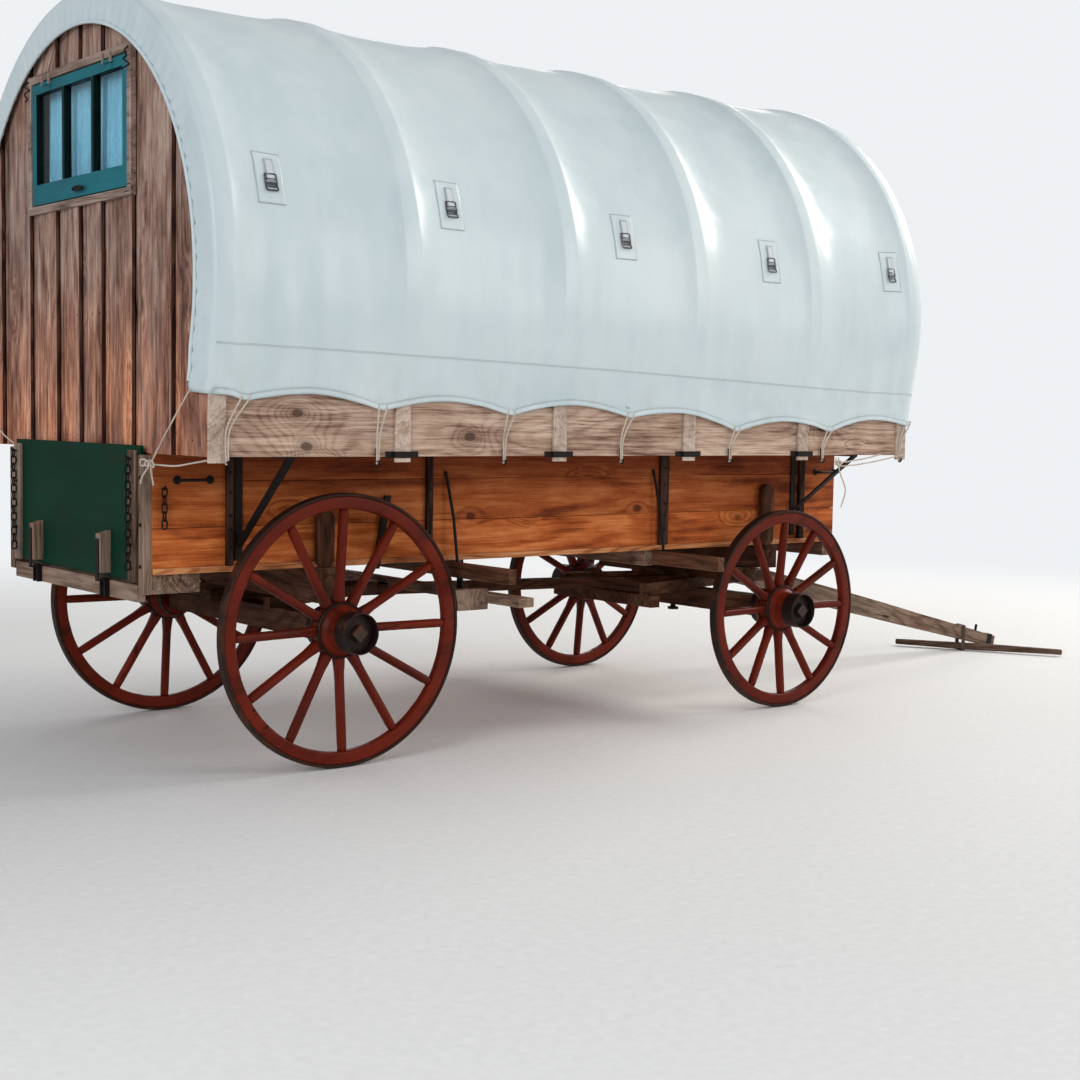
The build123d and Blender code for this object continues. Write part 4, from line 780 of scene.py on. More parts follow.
def hem_height(x):
    """Height of the cover's lower edge, drawn down at each lashing and curved up between them."""
    places, heights = np.array(hem_lashes).T
    height = np.interp(x, places, heights)
    for left, right in zip(places[:-1], places[1:]):
        share = np.clip((x - left) / (right - left), 0.0, 1.0)
        height = height + hem_rise * (right - left) * (1.0 - np.abs(2.0 * share - 1.0) ** 1.8)
    return height


def hem_length(x):
    """Length of the cloth from the crown to its lower edge."""
    below = knee_height - hem_height(x)
    return arc_length + slant_length + np.where(below > 0.0, below, below / cos(touch))


def fold(x, t, start, end, height, width):
    """A soft fold along a straight line on the cloth, fading at both ends."""
    along = np.array(end) - np.array(start)
    length = np.hypot(*along)
    unit = along / length
    place = (x - start[0]) * unit[0] + (t - start[1]) * unit[1]
    off = np.abs((x - start[0]) * unit[1] - (t - start[1]) * unit[0])
    share = np.clip(place / length, 0.0, 1.0)
    body = np.sin(pi * share) ** 0.7
    return height * body * np.exp(-((off / width) ** 1.6)) * ((place > 0.0) & (place < length))


def cover_folds():
    """Short folds that fan out from both edges of each hoop, and long soft ones in the skirt."""
    draw = random.Random(11)
    rows = []
    for side in (-1, 1):
        for left, right in zip(hoop_places[:-1], hoop_places[1:]):
            start, stop = left + hoop_half, right - hoop_half
            for place, run, fall in ((0.80, 0.34, 0.03), (1.22, 0.26, 0.09), (1.36, 0.16, 0.10)):
                rows.append(((start, side * place), (start + run, side * (place + fall)), 0.0045, 0.020))
            for _ in range(3):
                place = draw.uniform(0.25, 1.45) * side
                run = draw.uniform(0.16, 0.34)
                rows.append(((start, place), (start + run, place + side * draw.uniform(0.02, 0.16)),
                             draw.uniform(0.002, 0.005), draw.uniform(0.012, 0.026)))
            for _ in range(2):
                place = draw.uniform(0.5, 1.7) * side
                run = draw.uniform(0.10, 0.22)
                rows.append(((stop - run, place + side * draw.uniform(0.05, 0.16)), (stop, place),
                             draw.uniform(0.002, 0.004), draw.uniform(0.010, 0.02)))
            for _ in range(4):
                place = draw.uniform(left + 0.06, right - 0.06)
                rows.append(((place, side * draw.uniform(1.55, 1.85)),
                             (place + draw.uniform(-0.1, 0.1), side * 2.42),
                             draw.uniform(0.003, 0.007), draw.uniform(0.022, 0.045)))
    return rows


fold_rows = cover_folds()


def stand_off(x, t):
    """How far the cloth's inner face stands off the hoops' outer faces."""
    far = np.abs(t)
    free = 1.0 - 0.78 * ease(far, arc_length - 0.45, arc_length + slant_length - 0.06)
    off = np.full_like(x, cloth_off)
    between = np.zeros_like(x)
    for left, right in zip(hoop_places[:-1], hoop_places[1:]):
        share = np.clip((x - left - hoop_half) / (right - left - 2 * hoop_half), 0.0, 1.0)
        belly = 1.0 - np.abs(2.0 * share - 1.0) ** sag_power
        off -= sag_depth * (0.70 + 0.30 * ease(far, 0.25, 1.0)) * free * belly
        between += belly
    off += 0.0035 * between * field(x, t, 1.9, 4.0, 0.8)
    off += 0.0012 * between * field(x, t, 7.0, 9.0, 0.6)
    for start, end, height, width in fold_rows:
        off += between ** 0.4 * fold(x, t, start, end, height, width)
    up = hem_length(x) - far
    wave = np.sin(2 * pi * x / 0.047 + 2.2 * field(x, t * 0, 6.0, 2.0)) + 0.5 * np.sin(2 * pi * x / 0.021)
    off += (0.0019 + 0.0016 * wave) * np.exp(-((np.maximum(up, 0.0) / 0.055) ** 1.3))
    for place, _ in hem_lashes[1:]:
        away = np.hypot(x - place, up)
        spoke = np.sin(8.0 * np.arctan2(x - place, up + 0.02) + 3.0 * place)
        off += 0.0035 * spoke * ease(away, 0.02, 0.10) * (1.0 - ease(away, 0.12, 0.42))
    return np.maximum(off, np.where(far > arc_length + slant_length - 0.08, cloth_off - 0.006, -1.0))


def on_cloth(x, t, extra=0.0, inward=0.0):
    """Points on the cover's outer face, or above it, or in from it along the turned-in end."""
    y, z, out_y, out_z = on_arch(t)
    off = stand_off(x, t) + cloth_thickness + extra - inward
    return np.stack([x, y + off * out_y, z + off * out_z], axis=-1)


def cloth_point(x, t, extra):
    """One point above the cover's outer face."""
    return Vector(on_cloth(np.array([x]), np.array([t]), extra)[0])


def cloth_stations():
    """Places of the cloth's rows: length, place along the wagon and depth turned in."""
    flat_end = lip_width - cover_turn
    quarter = cover_turn * pi / 2
    near_hoop = 0.085
    beside_hoop = (near_hoop, 0.06, 0.044, 0.036, 0.030)
    rows = [(flat_end * k / 7, cover_rear, lip_width - flat_end * k / 7) for k in range(7)]
    for k in range(6):
        a = pi / 2 * k / 5
        rows.append((flat_end + quarter * k / 5, cover_rear + cover_turn * (1 - cos(a)),
                     cover_turn * (1 - sin(a))))
    places = []
    for hoop in hoop_places:
        places += [hoop, *(hoop - shift for shift in beside_hoop), *(hoop + shift for shift in beside_hoop)]
    for left, right in zip(hoop_places[:-1], hoop_places[1:]):
        span = right - left - 2 * near_hoop
        count = round(span / 0.034)
        places += [left + near_hoop + span * k / count for k in range(1, count)]
    low, high = cover_rear + cover_turn, cover_front - cover_turn
    start = flat_end + quarter
    inner = sorted(place for place in places if low + 0.003 < place < high - 0.003)
    rows += [(start + place - low, place, 0.0) for place in inner]
    last = start + high - low
    for k in range(6):
        a = pi / 2 * k / 5
        rows.append((last + quarter * k / 5, cover_front - cover_turn * (1 - cos(a)),
                     cover_turn * (1 - cos(a))))
    last += quarter
    rows += [(last + flat_end * k / 7, cover_front, cover_turn + flat_end * k / 7) for k in range(1, 8)]
    return np.array(rows)


def open_grid(name, points, thickness, cloth):
    """A sheet from a grid of points, with a real thickness inward and its own measure along the cloth."""
    rows, columns = points.shape[:2]
    index = np.arange(rows * columns).reshape(rows, columns)
    faces = np.stack([index[:-1, :-1], index[:-1, 1:], index[1:, 1:], index[1:, :-1]], axis=-1)
    mesh = bpy.data.meshes.new(name)
    mesh.from_pydata(points.reshape(-1, 3).tolist(), [], faces.reshape(-1, 4).tolist())
    mesh.attributes.new("cloth", "FLOAT_VECTOR", "POINT").data.foreach_set("vector", cloth.ravel())
    for face in mesh.polygons:
        face.use_smooth = True
    piece = new_object(name, mesh)
    solid = piece.modifiers.new("thickness", "SOLIDIFY")
    solid.thickness = thickness
    solid.offset = -1.0
    return piece


def build_cover():
    stations = cloth_stations()
    share = np.linspace(-1.0, 1.0, 239)[None, :]
    along, x, inward = (stations[:, k][:, None] * np.ones_like(share) for k in range(3))
    t = share * hem_length(x)
    points = on_cloth(x, t, inward=inward)
    depth = np.clip(inward / lip_width, 0.0, 1.0)
    pucker = np.sin(2 * pi * t / 0.071 + 1.8 * field(t, t * 0, 3.0, 6.0)) + 0.4 * np.sin(2 * pi * t / 0.033)
    outward = np.where(x < 0.0, -1.0, 1.0)
    points[..., 0] += outward * depth ** 0.8 * (0.004 + 0.0035 * pucker)
    cloth = np.stack([along, t, np.zeros_like(t)], axis=-1)
    piece = open_grid("cover_cloth", points, cloth_thickness, cloth)
    dress(piece, body_of["cover"], "canvas", stands_for=("cover",))


def cloth_strip(name, x, t, width, across_x=False, raise_by=0.0016, look=None):
    """A narrow strip sewn on the cover along a line; its width runs round the arch or along the wagon."""
    offsets = np.array([-0.5, -0.44, -0.3, -0.15, 0.0, 0.15, 0.3, 0.44, 0.5])[None, :] * width
    xs = x[:, None] + (offsets if across_x else 0.0 * offsets)
    ts = t[:, None] + (0.0 * offsets if across_x else offsets)
    points = on_cloth(xs, ts, extra=raise_by)
    steps = np.linalg.norm(np.diff(points[:, 4], axis=0), axis=-1)
    lengths = np.concatenate([[0.0], np.cumsum(steps)])[:, None]
    from_edge = np.minimum(width / 2 - np.abs(offsets), np.minimum(lengths, lengths[-1] - lengths))
    cloth = np.stack([lengths + 0.0 * xs, from_edge, np.ones_like(xs)], axis=-1)
    piece = open_grid(name, points, raise_by + 0.0005, cloth)
    dress(piece, body_of["cover"], "canvas", look)


# Sewn lines on the cover: a long seam down each side, one panel seam, the hem's cord channel
# Height of the long seam at places along the wagon
seam_heights = ((-3.075, 1.684), (-2.3, 1.668), (-1.27, 1.642), (0.47, 1.582), (0.815, 1.578))
panel_seam = -1.065


def build_seams():
    x = np.array([row[1] for row in cloth_stations() if row[2] == 0.0])
    places, heights = np.array(seam_heights).T
    level = np.interp(x, places, heights)
    t = arc_length + (arch_centre - arch_radius * sin(touch) - level) / cos(touch)
    for name, side in (("right", -1.0), ("left", 1.0)):
        cloth_strip(f"long_seam_{name}", x, side * t, 0.006)
        hem_t = hem_length(x) - 0.011
        cloth_strip(f"hem_channel_{name}", x, side * hem_t, 0.024, raise_by=0.0035)
    end = float(hem_length(np.array([panel_seam]))[0]) - 0.03
    t = np.linspace(-end, end, 170)
    cloth_strip("panel_seam", np.full_like(t, panel_seam), t, 0.030, across_x=True)


# Sewn tabs with buckles, along both sides: place along the wagon, length round from the crown
tab_rows = ((-2.821, 1.485), (-2.017, 1.514), (-1.108, 1.569), (-0.216, 1.613), (0.634, 1.605))
tab_width = 0.118
tab_length = 0.205


def build_tabs():
    places = [(side, x, t) for side in (-1.0, 1.0) for x, t in tab_rows]
    patch_rows = np.array([-0.5, -0.465, -0.25, 0.0, 0.25, 0.465, 0.5]) * tab_length
    for index, (side, x0, t0) in enumerate(places):
        t = side * (t0 + patch_rows)
        cloth_strip(f"tab_patch_{index}", np.full_like(t, x0), t, tab_width, across_x=True, raise_by=0.0018)
        tail = side * (t0 + np.linspace(-0.075, 0.012, 8))
        cloth_strip(f"tab_strap_{index + 1}", np.full_like(tail, x0 + 0.006), tail, 0.034, across_x=True,
                    raise_by=0.0045, look="webbing")
    bm = bmesh.new()
    ahead = Vector((1.0, 0.0, 0.0))
    outline = ((-1, -1), (0, -1.06), (1, -1), (1, 0), (1, 1), (0, 1.06), (-1, 1), (-1, 0))
    for side, x0, t0 in places:
        for shift, tilt, high in ((0.0, 0.0, 0.036), (0.030, 0.22, 0.030)):
            t = t0 + 0.006 + shift
            centre, below = (cloth_point(x0 + 0.004, side * at, 0.0085) for at in (t, t + 0.01))
            down = (below - centre).normalized()
            out = down.cross(ahead).normalized()
            if out.y * side < 0:
                out = -out
            down = (cos(tilt) * down + sin(tilt) * out).normalized()
            half_w, half_h = 0.023, high / 2
            ring = [centre + a * half_w * ahead + b * half_h * down for a, b in outline]
            skin(bm, follow(smooth_path(ring + [ring[0]], 3), 0.0032, 6)[:-1], close=True)
            bar(bm, [centre - half_w * ahead, centre, centre + half_w * ahead], 0.0026, 6)
    finished(bm, "tab_buckles", body_of["cover"], "black_iron", "buckle", seed=5)


# Ropes: side lashings, the drawstring of the rear opening and the front stays

rail_low, rail_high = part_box("side_rails")
# Places of the small hooks under the side rails, each below its lashing
lash_hooks = (-2.997, -2.350, -1.735, -1.096, -0.432, 0.195, 0.770)


def build_lashings():
    bm = bmesh.new()
    hooks = bmesh.new()
    rail_face = rail_high[1]
    hook_z = 1.256
    hook_side = ((-0.004, 0.045), (0.003, 0.042), (0.004, 0.006), (0.009, -0.014), (0.021, -0.012),
                 (0.025, 0.004))
    for side in (-1.0, 1.0):
        for (place, _), hook_x in zip(hem_lashes[1:], lash_hooks):
            t = float(hem_length(np.array([place]))[0]) - 0.012
            for spread in (-1.0, 1.0):
                top = cloth_point(place + spread * 0.018, side * t, 0.005)
                path = [top + Vector((0.0, side * -0.004, 0.012)), top + Vector((0.0, side * 0.003, 0.0)),
                        (hook_x + spread * 0.007, side * (rail_face + 0.017), (top.z + hook_z) / 2),
                        (hook_x + spread * 0.004, side * (rail_face + 0.013), hook_z)]
                strands(bm, smooth_path(path, 5))
            grip = [(hook_x + 0.006 * cos(a), side * (rail_face + 0.012), hook_z - 0.004 + 0.008 * sin(a))
                    for a in np.linspace(pi, 2 * pi, 7)]
            strands(bm, grip)
            stem = [(hook_x, side * (rail_face + out), hook_z + up) for out, up in hook_side]
            bar(hooks, smooth_path(stem, 5), 0.0042)
    finished(bm, "side_lashings", body_of["cover"], "canvas", "rope", seed=3)
    finished(hooks, "lashing_hooks", body_of["side_rails"], "black_iron", seed=4)


def build_drawstrings():
    """The gathered rope of each open end runs in the turned-in edge and ties off at the rail posts."""
    bm = bmesh.new()
    wall_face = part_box("rear_wall")[0][0]
    for face, sign in ((cover_rear, -1.0), (cover_front, 1.0)):
        t = np.linspace(-1.0, 1.0, 120) * (float(hem_length(np.array([face]))[0]) - 0.03)
        inner = on_cloth(np.full_like(t, face), t, inward=lip_width - 0.004)
        bar(bm, [Vector(point) + Vector((sign * 0.009, 0.0, 0.0)) for point in inner], 0.0075)
    finished(bm, "drawstring_channels", body_of["cover"], "canvas", seed=6)
    bm = bmesh.new()
    face = cover_rear - 0.012
    post = rail_low[0] - 0.012
    tie = wall_face - 0.055
    end = wall_face - 0.03
    knot = (tie, -0.735, 1.236)
    routes = (
        ((face, -1.017, 1.513), (face - 0.006, -0.93, 1.43), (face - 0.012, -0.82, 1.325), knot),
        ((post, -1.085, 1.262), (post - 0.016, -0.97, 1.246), (post - 0.022, -0.84, 1.232), knot),
        (knot, (tie - 0.012, -0.712, 1.252), (tie - 0.016, -0.684, 1.250), (tie - 0.014, -0.682, 1.230),
         (tie - 0.008, -0.71, 1.230), knot),
        (knot, (tie - 0.012, -0.760, 1.250), (tie - 0.016, -0.790, 1.244), (tie - 0.012, -0.786, 1.226),
         (tie - 0.008, -0.758, 1.230), knot),
        (knot, (tie - 0.008, -0.712, 1.210), (tie - 0.010, -0.680, 1.182), (tie - 0.010, -0.672, 1.160)),
        (knot, (tie - 0.006, -0.752, 1.210), (tie - 0.010, -0.770, 1.184), (tie - 0.010, -0.780, 1.158)),
        ((face, 0.905, 1.44), (face - 0.008, 0.82, 1.365), (face - 0.014, 0.72, 1.315), (end, 0.60, 1.262),
         (end, 0.56, 1.24)),
    )
    for route in routes:
        strands(bm, smooth_path(route, 6))
    strands(bm, [Vector(knot) + Vector((0.010 * sin(1.7 * a) - 0.006, 0.017 * cos(a), 0.013 * sin(a)))
                 for a in np.linspace(0.0, 4.6 * pi, 40)])
    finished(bm, "rear_drawstring", body_of["cover"], "canvas", "rope", seed=7)


def build_front_stays():
    bm = bmesh.new()
    for side in (-1.0, 1.0):
        face = side * (rail_high[1] + 0.022)
        routes = (
            ((0.283, face, 1.262), (0.30, face, 1.222), (0.52, face, 1.236), (0.79, face, 1.276)),
            ((0.300, face, 1.262), (0.318, face, 1.240), (0.47, face, 1.254), (0.612, face, 1.276)),
            ((0.300, face, 1.230), (0.312, face + side * 0.006, 1.180), (0.345, face + side * 0.010, 1.110),
             (0.338, face + side * 0.006, 1.060), (0.327, face, 1.022)),
        )
        for route in routes:
            strands(bm, smooth_path(route, 6))
        knot = Vector((0.300, face + side * 0.004, 1.236))
        strands(bm, [knot + Vector((0.012 * cos(a), 0.006 * sin(1.6 * a), 0.011 * sin(a)))
                     for a in np.linspace(0, 4.4 * pi, 36)])
    finished(bm, "front_stays", body_of["side_rails"], "canvas", "rope", seed=8)


# Wheels: turned nave, felloes with joints, tapered spokes, tyre and banded nave

tyre_width = 0.045
tyre_thickness = 0.013
felloe_depth = 0.052
felloe_width = 0.042
spoke_count = 12
spoke_dish = 0.033
nave_tail_radius = 0.084
nave_flange_radius = 0.113
nave_nose_radius = 0.079
tail_band_length = 0.034
nose_band_length = 0.070
band_thickness = 0.006
hub_recess = 0.033


def soft_square(width, depth, power, count=16):
    """Points round a rounded square; a power of 2 is an oval, more is squarer."""
    points = []
    for k in range(count):
        a = 2 * pi * (k + 0.5) / count
        c, s = cos(a), sin(a)
        points.append((width / 2 * abs(c) ** (2 / power) * (1 if c > 0 else -1),
                       depth / 2 * abs(s) ** (2 / power) * (1 if s > 0 else -1)))
    return points


def build_wheel(corner):
    body = body_of[f"{corner}_wheel"]
    low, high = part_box(f"{corner}_tyre")
    centre = Vector(((low[0] + high[0]) / 2, 0.0, (low[2] + high[2]) / 2))
    radius = (high[2] - low[2]) / 2
    side = 1.0 if high[1] > 0 else -1.0
    middle = (abs(low[1]) + abs(high[1])) / 2
    reach_in, reach_out = sorted(abs(corner_point[1]) for corner_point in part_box(f"{corner}_wheel"))

    def spun(bm, profile, segments):
        turned(bm, [(r, side * y) for r, y in profile], centre.x, centre.z, segments)

    felloe_outer = radius - tyre_thickness - 0.0002
    felloe_inner = felloe_outer - felloe_depth
    bm = bmesh.new()
    half = felloe_width / 2
    round_in, round_out = 0.010, 0.004
    profile = [(felloe_outer, middle - half + round_out), (felloe_outer, middle + half - round_out),
               (felloe_outer - round_out, middle + half)]
    profile += [(felloe_inner + round_in * (1 - sin(a)), middle + half - round_in * (1 - cos(a)))
                for a in np.linspace(0.0, pi / 2, 4)]
    profile += [(felloe_inner + round_in * (1 - cos(a)), middle - half + round_in * (1 - sin(a)))
                for a in np.linspace(0.0, pi / 2, 4)]
    profile += [(felloe_outer - round_out, middle - half)]
    joints = [pi / 2 + 2 * pi * (k + 0.5) / spoke_count for k in range(0, spoke_count, 2)]
    gap = 0.0016 / felloe_outer
    turns = sorted({round(a + shift, 6) for a in joints for shift in (-5 * gap, -gap, 0.0, gap, 5 * gap)}
                   | {round(pi / 2 + 2 * pi * (k + part / 8) / spoke_count, 6) for k in range(spoke_count)
                      for part in (0, 1, 2, 3, 5, 6, 7)})
    rings = []
    for a in turns:
        off = min(abs((a - joint + pi) % (2 * pi) - pi) for joint in joints)
        sunk = 0.0022 if off < 0.5 * gap else 0.0
        ring = []
        for r, y in profile:
            middle_y = middle + (y - middle) * (1.0 - sunk / half)
            inner = r + sunk if r < felloe_outer - felloe_depth / 2 else r
            ring.append((centre.x + inner * cos(a), side * middle_y, centre.z + inner * sin(a)))
        rings.append(ring)
    skin(bm, rings, close=True)

    nave_mid = middle - spoke_dish
    tail, flange, nose = nave_tail_radius, nave_flange_radius, nave_nose_radius
    hub_station = flange - 0.012
    rim_station = felloe_inner + 0.006
    for k in range(spoke_count):
        a = -pi / 2 + 2 * pi * k / spoke_count
        out = Vector((cos(a), 0.0, sin(a)))
        across = Vector((-sin(a), 0.0, cos(a)))
        rows = []
        for u in (0.0, 0.06, 0.12, 0.18, 0.26, 0.36, 0.48, 0.60, 0.72, 0.82, 0.90, 0.95, 1.0):
            r = hub_station + u * (rim_station - hub_station)
            y = nave_mid + u * (middle - nave_mid)
            throat = float(ease(np.array(u), 0.02, 0.22))
            tip = float(ease(np.array(u), 0.90, 1.0))
            width = 0.041 - 0.0055 * throat + 0.001 * u - 0.003 * tip
            depth = 0.047 - 0.0075 * u - 0.004 * throat * (1 - u) - 0.005 * tip
            mid = centre + out * r + Vector((0.0, side * y, 0.0))
            section = soft_square(width, depth, 6.0 - 3.4 * throat)
            rows.append([mid + across * p + Vector((0.0, q, 0.0)) for p, q in section])
        skin(bm, rows, caps=True)

    flange_low, flange_high = nave_mid - 0.031, nave_mid + 0.031
    tail_end = reach_in + tail_band_length
    nose_band = reach_out + hub_recess - nose_band_length
    spun(bm, [
        (0.0265, reach_in), (tail - 0.003, reach_in), (tail - 0.0003, reach_in + 0.003),
        (tail - 0.0003, tail_end), (tail + 0.004, tail_end + 0.003), (tail + 0.016, tail_end + 0.012),
        (flange - 0.004, flange_low - 0.001), (flange, flange_low + 0.006),
        (flange + 0.0015, flange_low + 0.016),
        (flange + 0.0015, flange_high - 0.014), (flange - 0.001, flange_high - 0.003),
        (flange - 0.006, flange_high + 0.001), (flange - 0.010, flange_high + 0.0015),
        (flange - 0.013, flange_high + 0.005), (nose + 0.020, flange_high + 0.011),
        (nose + 0.009, flange_high + 0.019), (nose + 0.004, flange_high + 0.026),
        (nose - 0.0003, nose_band - 0.002), (nose - 0.0003, reach_out - 0.003), (nose - 0.004, reach_out),
        (0.0265, reach_out)], 48)
    finished(bm, f"{corner}_wheel_wood", body, "red_wood", stands_for=(f"{corner}_wheel",), seed=corner)

    bm = bmesh.new()
    inner = radius - tyre_thickness
    y_low, y_high = middle - tyre_width / 2, middle + tyre_width / 2
    half_tyre = [(inner, 0.001), (inner + 0.001, 0.0), (radius - 0.003, 0.0), (radius - 0.0008, 0.002),
                 (radius, 0.005)]
    spun(bm, [(r, y_low + y) for r, y in half_tyre] + [(r, y_high - y) for r, y in half_tyre[::-1]], 144)
    finished(bm, f"{corner}_tyre_ring", body, "tyre_iron", stands_for=(f"{corner}_tyre",), seed=corner)

    bm = bmesh.new()
    for start, length, seat in ((nose_band, nose_band_length, nose), (reach_in, tail_band_length, tail)):
        r_in, r_out = seat + 0.0003, seat + band_thickness
        end = start + length
        spun(bm, [(r_in, start + 0.001), (r_in + 0.001, start), (r_out - 0.0015, start),
                  (r_out, start + 0.0015), (r_out + 0.0006, start + length * 0.5), (r_out, end - 0.003),
                  (r_out - 0.0006, end - 0.0008), (r_out - 0.002, end), (r_in + 0.001, end),
                  (r_in, end - 0.001)], 64)
    spun(bm, [(flange - 0.0045, flange_high + 0.0055), (flange - 0.001, flange_high + 0.002),
              (flange + 0.003, flange_high - 0.002), (flange + 0.0032, flange_high - 0.009),
              (flange + 0.001, flange_high - 0.010), (flange - 0.006, flange_high - 0.004)], 64)
    spun(bm, [(flange - 0.006, flange_low + 0.002), (flange + 0.001, flange_low + 0.009),
              (flange + 0.0032, flange_low + 0.009), (flange + 0.003, flange_low + 0.001),
              (flange - 0.003, flange_low - 0.003)], 64)
    spun(bm, [(0.0268, reach_out + 0.0002), (0.0745, reach_out + 0.0002), (0.0735, reach_out + 0.002),
              (0.046, reach_out + 0.002), (0.043, reach_out + 0.0048), (0.0268, reach_out + 0.0048)], 40)
    finished(bm, f"{corner}_nave_iron", body, "hub_iron", stands_for=(f"{corner}_hub_bands",), seed=corner)


# Chains: round links where the flat ones are

chain_wire = 0.0042
longest_hook = 0.032


def chain_link(bm, part, axes, size):
    """A link of round wire in the place of a flat one."""
    wire = float(min(chain_wire, size[2] / 2))
    half, end = size[0] / 2 - wire, size[1] / 2 - wire
    straight = max(half - end, 0.0)
    half_turn = [(straight + end * cos(a), end * sin(a)) for a in np.linspace(-pi / 2, pi / 2, 7)]
    middle = axes @ mean_place(part @ axes)
    path = [Vector(middle + axes[:, 0] * a + axes[:, 1] * b)
            for a, b in half_turn + [(-a, -b) for a, b in half_turn]]
    up = Vector(axes[:, 2])
    turns = [2 * pi * j / 8 for j in range(8)]
    rings = []
    for k, point in enumerate(path):
        side = (path[(k + 1) % len(path)] - path[k - 1]).normalized().cross(up)
        rings.append([point + wire * (cos(b) * up + sin(b) * side) for b in turns])
    skin(bm, rings, close=True)


def chain_hook(bm, part, axes, size, away):
    """A hook that stands for a chain's short end piece; it bends up, away from the axis given."""
    middle = Vector(axes @ mean_place(part @ axes))
    ahead = Vector(axes[:, 0])
    if ahead[away] > 0:
        ahead.negate()
    half = float(size[0]) / 2
    path = [middle - ahead * half, middle + ahead * half * 0.4,
            middle + ahead * half + Vector((0.0, 0.0, 0.003)),
            middle + ahead * (half + 0.004) + Vector((0.0, 0.0, 0.014))]
    bar(bm, smooth_path(path, 4), float(size[1]) * 0.42)


def build_chains():
    for node, away in (("tailgate_chains", 0), ("side_chain", 1)):
        bm = bmesh.new()
        measured = []
        for part in parts_of(node):
            axes = long_axis(part)
            measured.append((part, axes, np.ptp(part @ axes, axis=0)))
        for part, axes, size in measured:
            if size[0] / max(size[2], 1e-6) <= 12 and size[1] >= 0.008:
                chain_link(bm, part, axes, size)
        for part, axes, size in measured:
            if size[0] <= longest_hook:
                chain_hook(bm, part, axes, size, away)
        name = f"{node.removesuffix('s')}_links"
        finished(bm, name, body_of[node], "black_iron", stands_for=(node,), seed=node)


# Rear wall: upright boards, each lapped over its right neighbour's edge

# Lines where one board's edge lies over the next, from the wagon's left to its right
lap_lines = (0.828, 0.507, 0.225, -0.004, -0.219, -0.497, -0.829)
# How pale each board is, from 0 to 1, in the same order
board_tones = (0.95, 0.30, 0.90, 0.42, 0.62, 0.30, 0.55, 0.35)
board_thickness = 0.0135
board_lap = 0.028
board_gap = 0.0065


def build_rear_wall():
    wall_low, wall_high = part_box("rear_wall")
    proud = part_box("rear_battens")[0][0]
    mould_bm = welded("rear_wall")
    for vertex in mould_bm.verts:
        if vertex.co.x < (wall_low[0] + wall_high[0]) / 2:
            vertex.co.x = proud - 0.004
    mould_mesh = mesh_from(mould_bm, "wall_outline")
    mould = new_object("wall_outline", mould_mesh)
    edges = (wall_high[1] + 0.01, *lap_lines, wall_low[1] - 0.01)
    step = board_thickness + board_gap
    joined = bmesh.new()
    for index, (left, right) in enumerate(zip(edges[:-1], edges[1:])):
        far = left + (board_lap if index else 0.0)
        bm = bmesh.new()
        rings = []
        slanted = step / (left - right) * (far - right)
        for z in np.linspace(wall_low[2] - 0.02, wall_high[2] + 0.02, 15):
            bow = 0.0012 * noise.noise(Vector((index * 3.1, z * 1.7, 0.0)))
            slip = 0.0016 * noise.noise(Vector((index * 5.7, z * 2.3, 4.0)))
            rings.append([(proud + 0.001 + bow, right + slip, z), (proud + step + bow, left + 0.001, z),
                          (proud + slanted + bow, far, z), (proud + slanted + board_thickness, far, z),
                          (proud + 0.001 + board_thickness, right + slip, z)])
        skin(bm, rings, caps=True)
        face_outward(bm)
        mesh = mesh_from(bm, "board")
        board = new_object("board", mesh)
        cut = board.modifiers.new("outline", "BOOLEAN")
        cut.operation = "INTERSECT"
        cut.solver = "EXACT"
        cut.object = mould
        graph = bpy.context.evaluated_depsgraph_get()
        shaped = bpy.data.meshes.new_from_object(board.evaluated_get(graph))
        joined.from_mesh(shaped)
        bpy.data.objects.remove(board)
        bpy.data.meshes.remove(mesh)
        bpy.data.meshes.remove(shaped)
    bpy.data.objects.remove(mould)
    bpy.data.meshes.remove(mould_mesh)
    piece = finished(joined, "rear_wall_boards", body_of["rear_wall"], "wall_wood",
                     stands_for=("rear_wall", "rear_battens"), bevel=0.0022, angle=40.0, seed=17)
    for vertex, tone in zip(piece.data.vertices, piece.data.attributes["board"].data):
        tone.value = board_tones[sum(vertex.co.y < line + 0.001 for line in lap_lines)]
    # Painted shade on the boards' side faces that look to the wagon's right
    second_look(piece, "board_side_shade", lambda at, n: n.y < -0.6)
    second_look(piece, "gap_shade", lambda at, n: n.x < -0.6 and at.x > proud + board_thickness
                and any(line - 0.001 < at.y < line + board_lap for line in lap_lines))


# Rear window: curtains on a rod inside, a pull on the sash and curled catches at its upper corners

# Middle of the sash's flush pull, across the wagon and up, and its width and height
pull_place = (-0.030, 2.326)
pull_size = (0.108, 0.022)
# Middle and half width of the sash's two upright bars
bar_middle = 0.1433
bar_half = 0.0097
# How far the sash's face lies behind the casing's
sash_inset = 0.006
# Middle of the sash's hinge leaves, and half their length with some room
leaf_middle = 0.300
leaf_reach = 0.034
glass_low, glass_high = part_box("window_glass")
casing_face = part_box("window_casing")[0][0]
sash_face = casing_face + sash_inset


def finish_sash(piece):
    """End the hinge leaves above the panes, as in the photo, and give the sash's reveals and the undersides
    over the panes a painted shade.
    """
    for vertex in piece.data.vertices:
        if (vertex.co.x < sash_face + 0.0002 and glass_high[2] - 0.05 < vertex.co.z < glass_high[2]
                and abs(abs(vertex.co.y) - leaf_middle) < leaf_reach):
            vertex.co.z = glass_high[2] + 0.001
    second_look(piece, "reveal_shade", lambda at, n: glass_low[2] < at.z < glass_high[2] + 0.002
                and (abs(n.y) > 0.7 or n.z < -0.7) and abs(at.y) < glass_high[1] + 0.004)


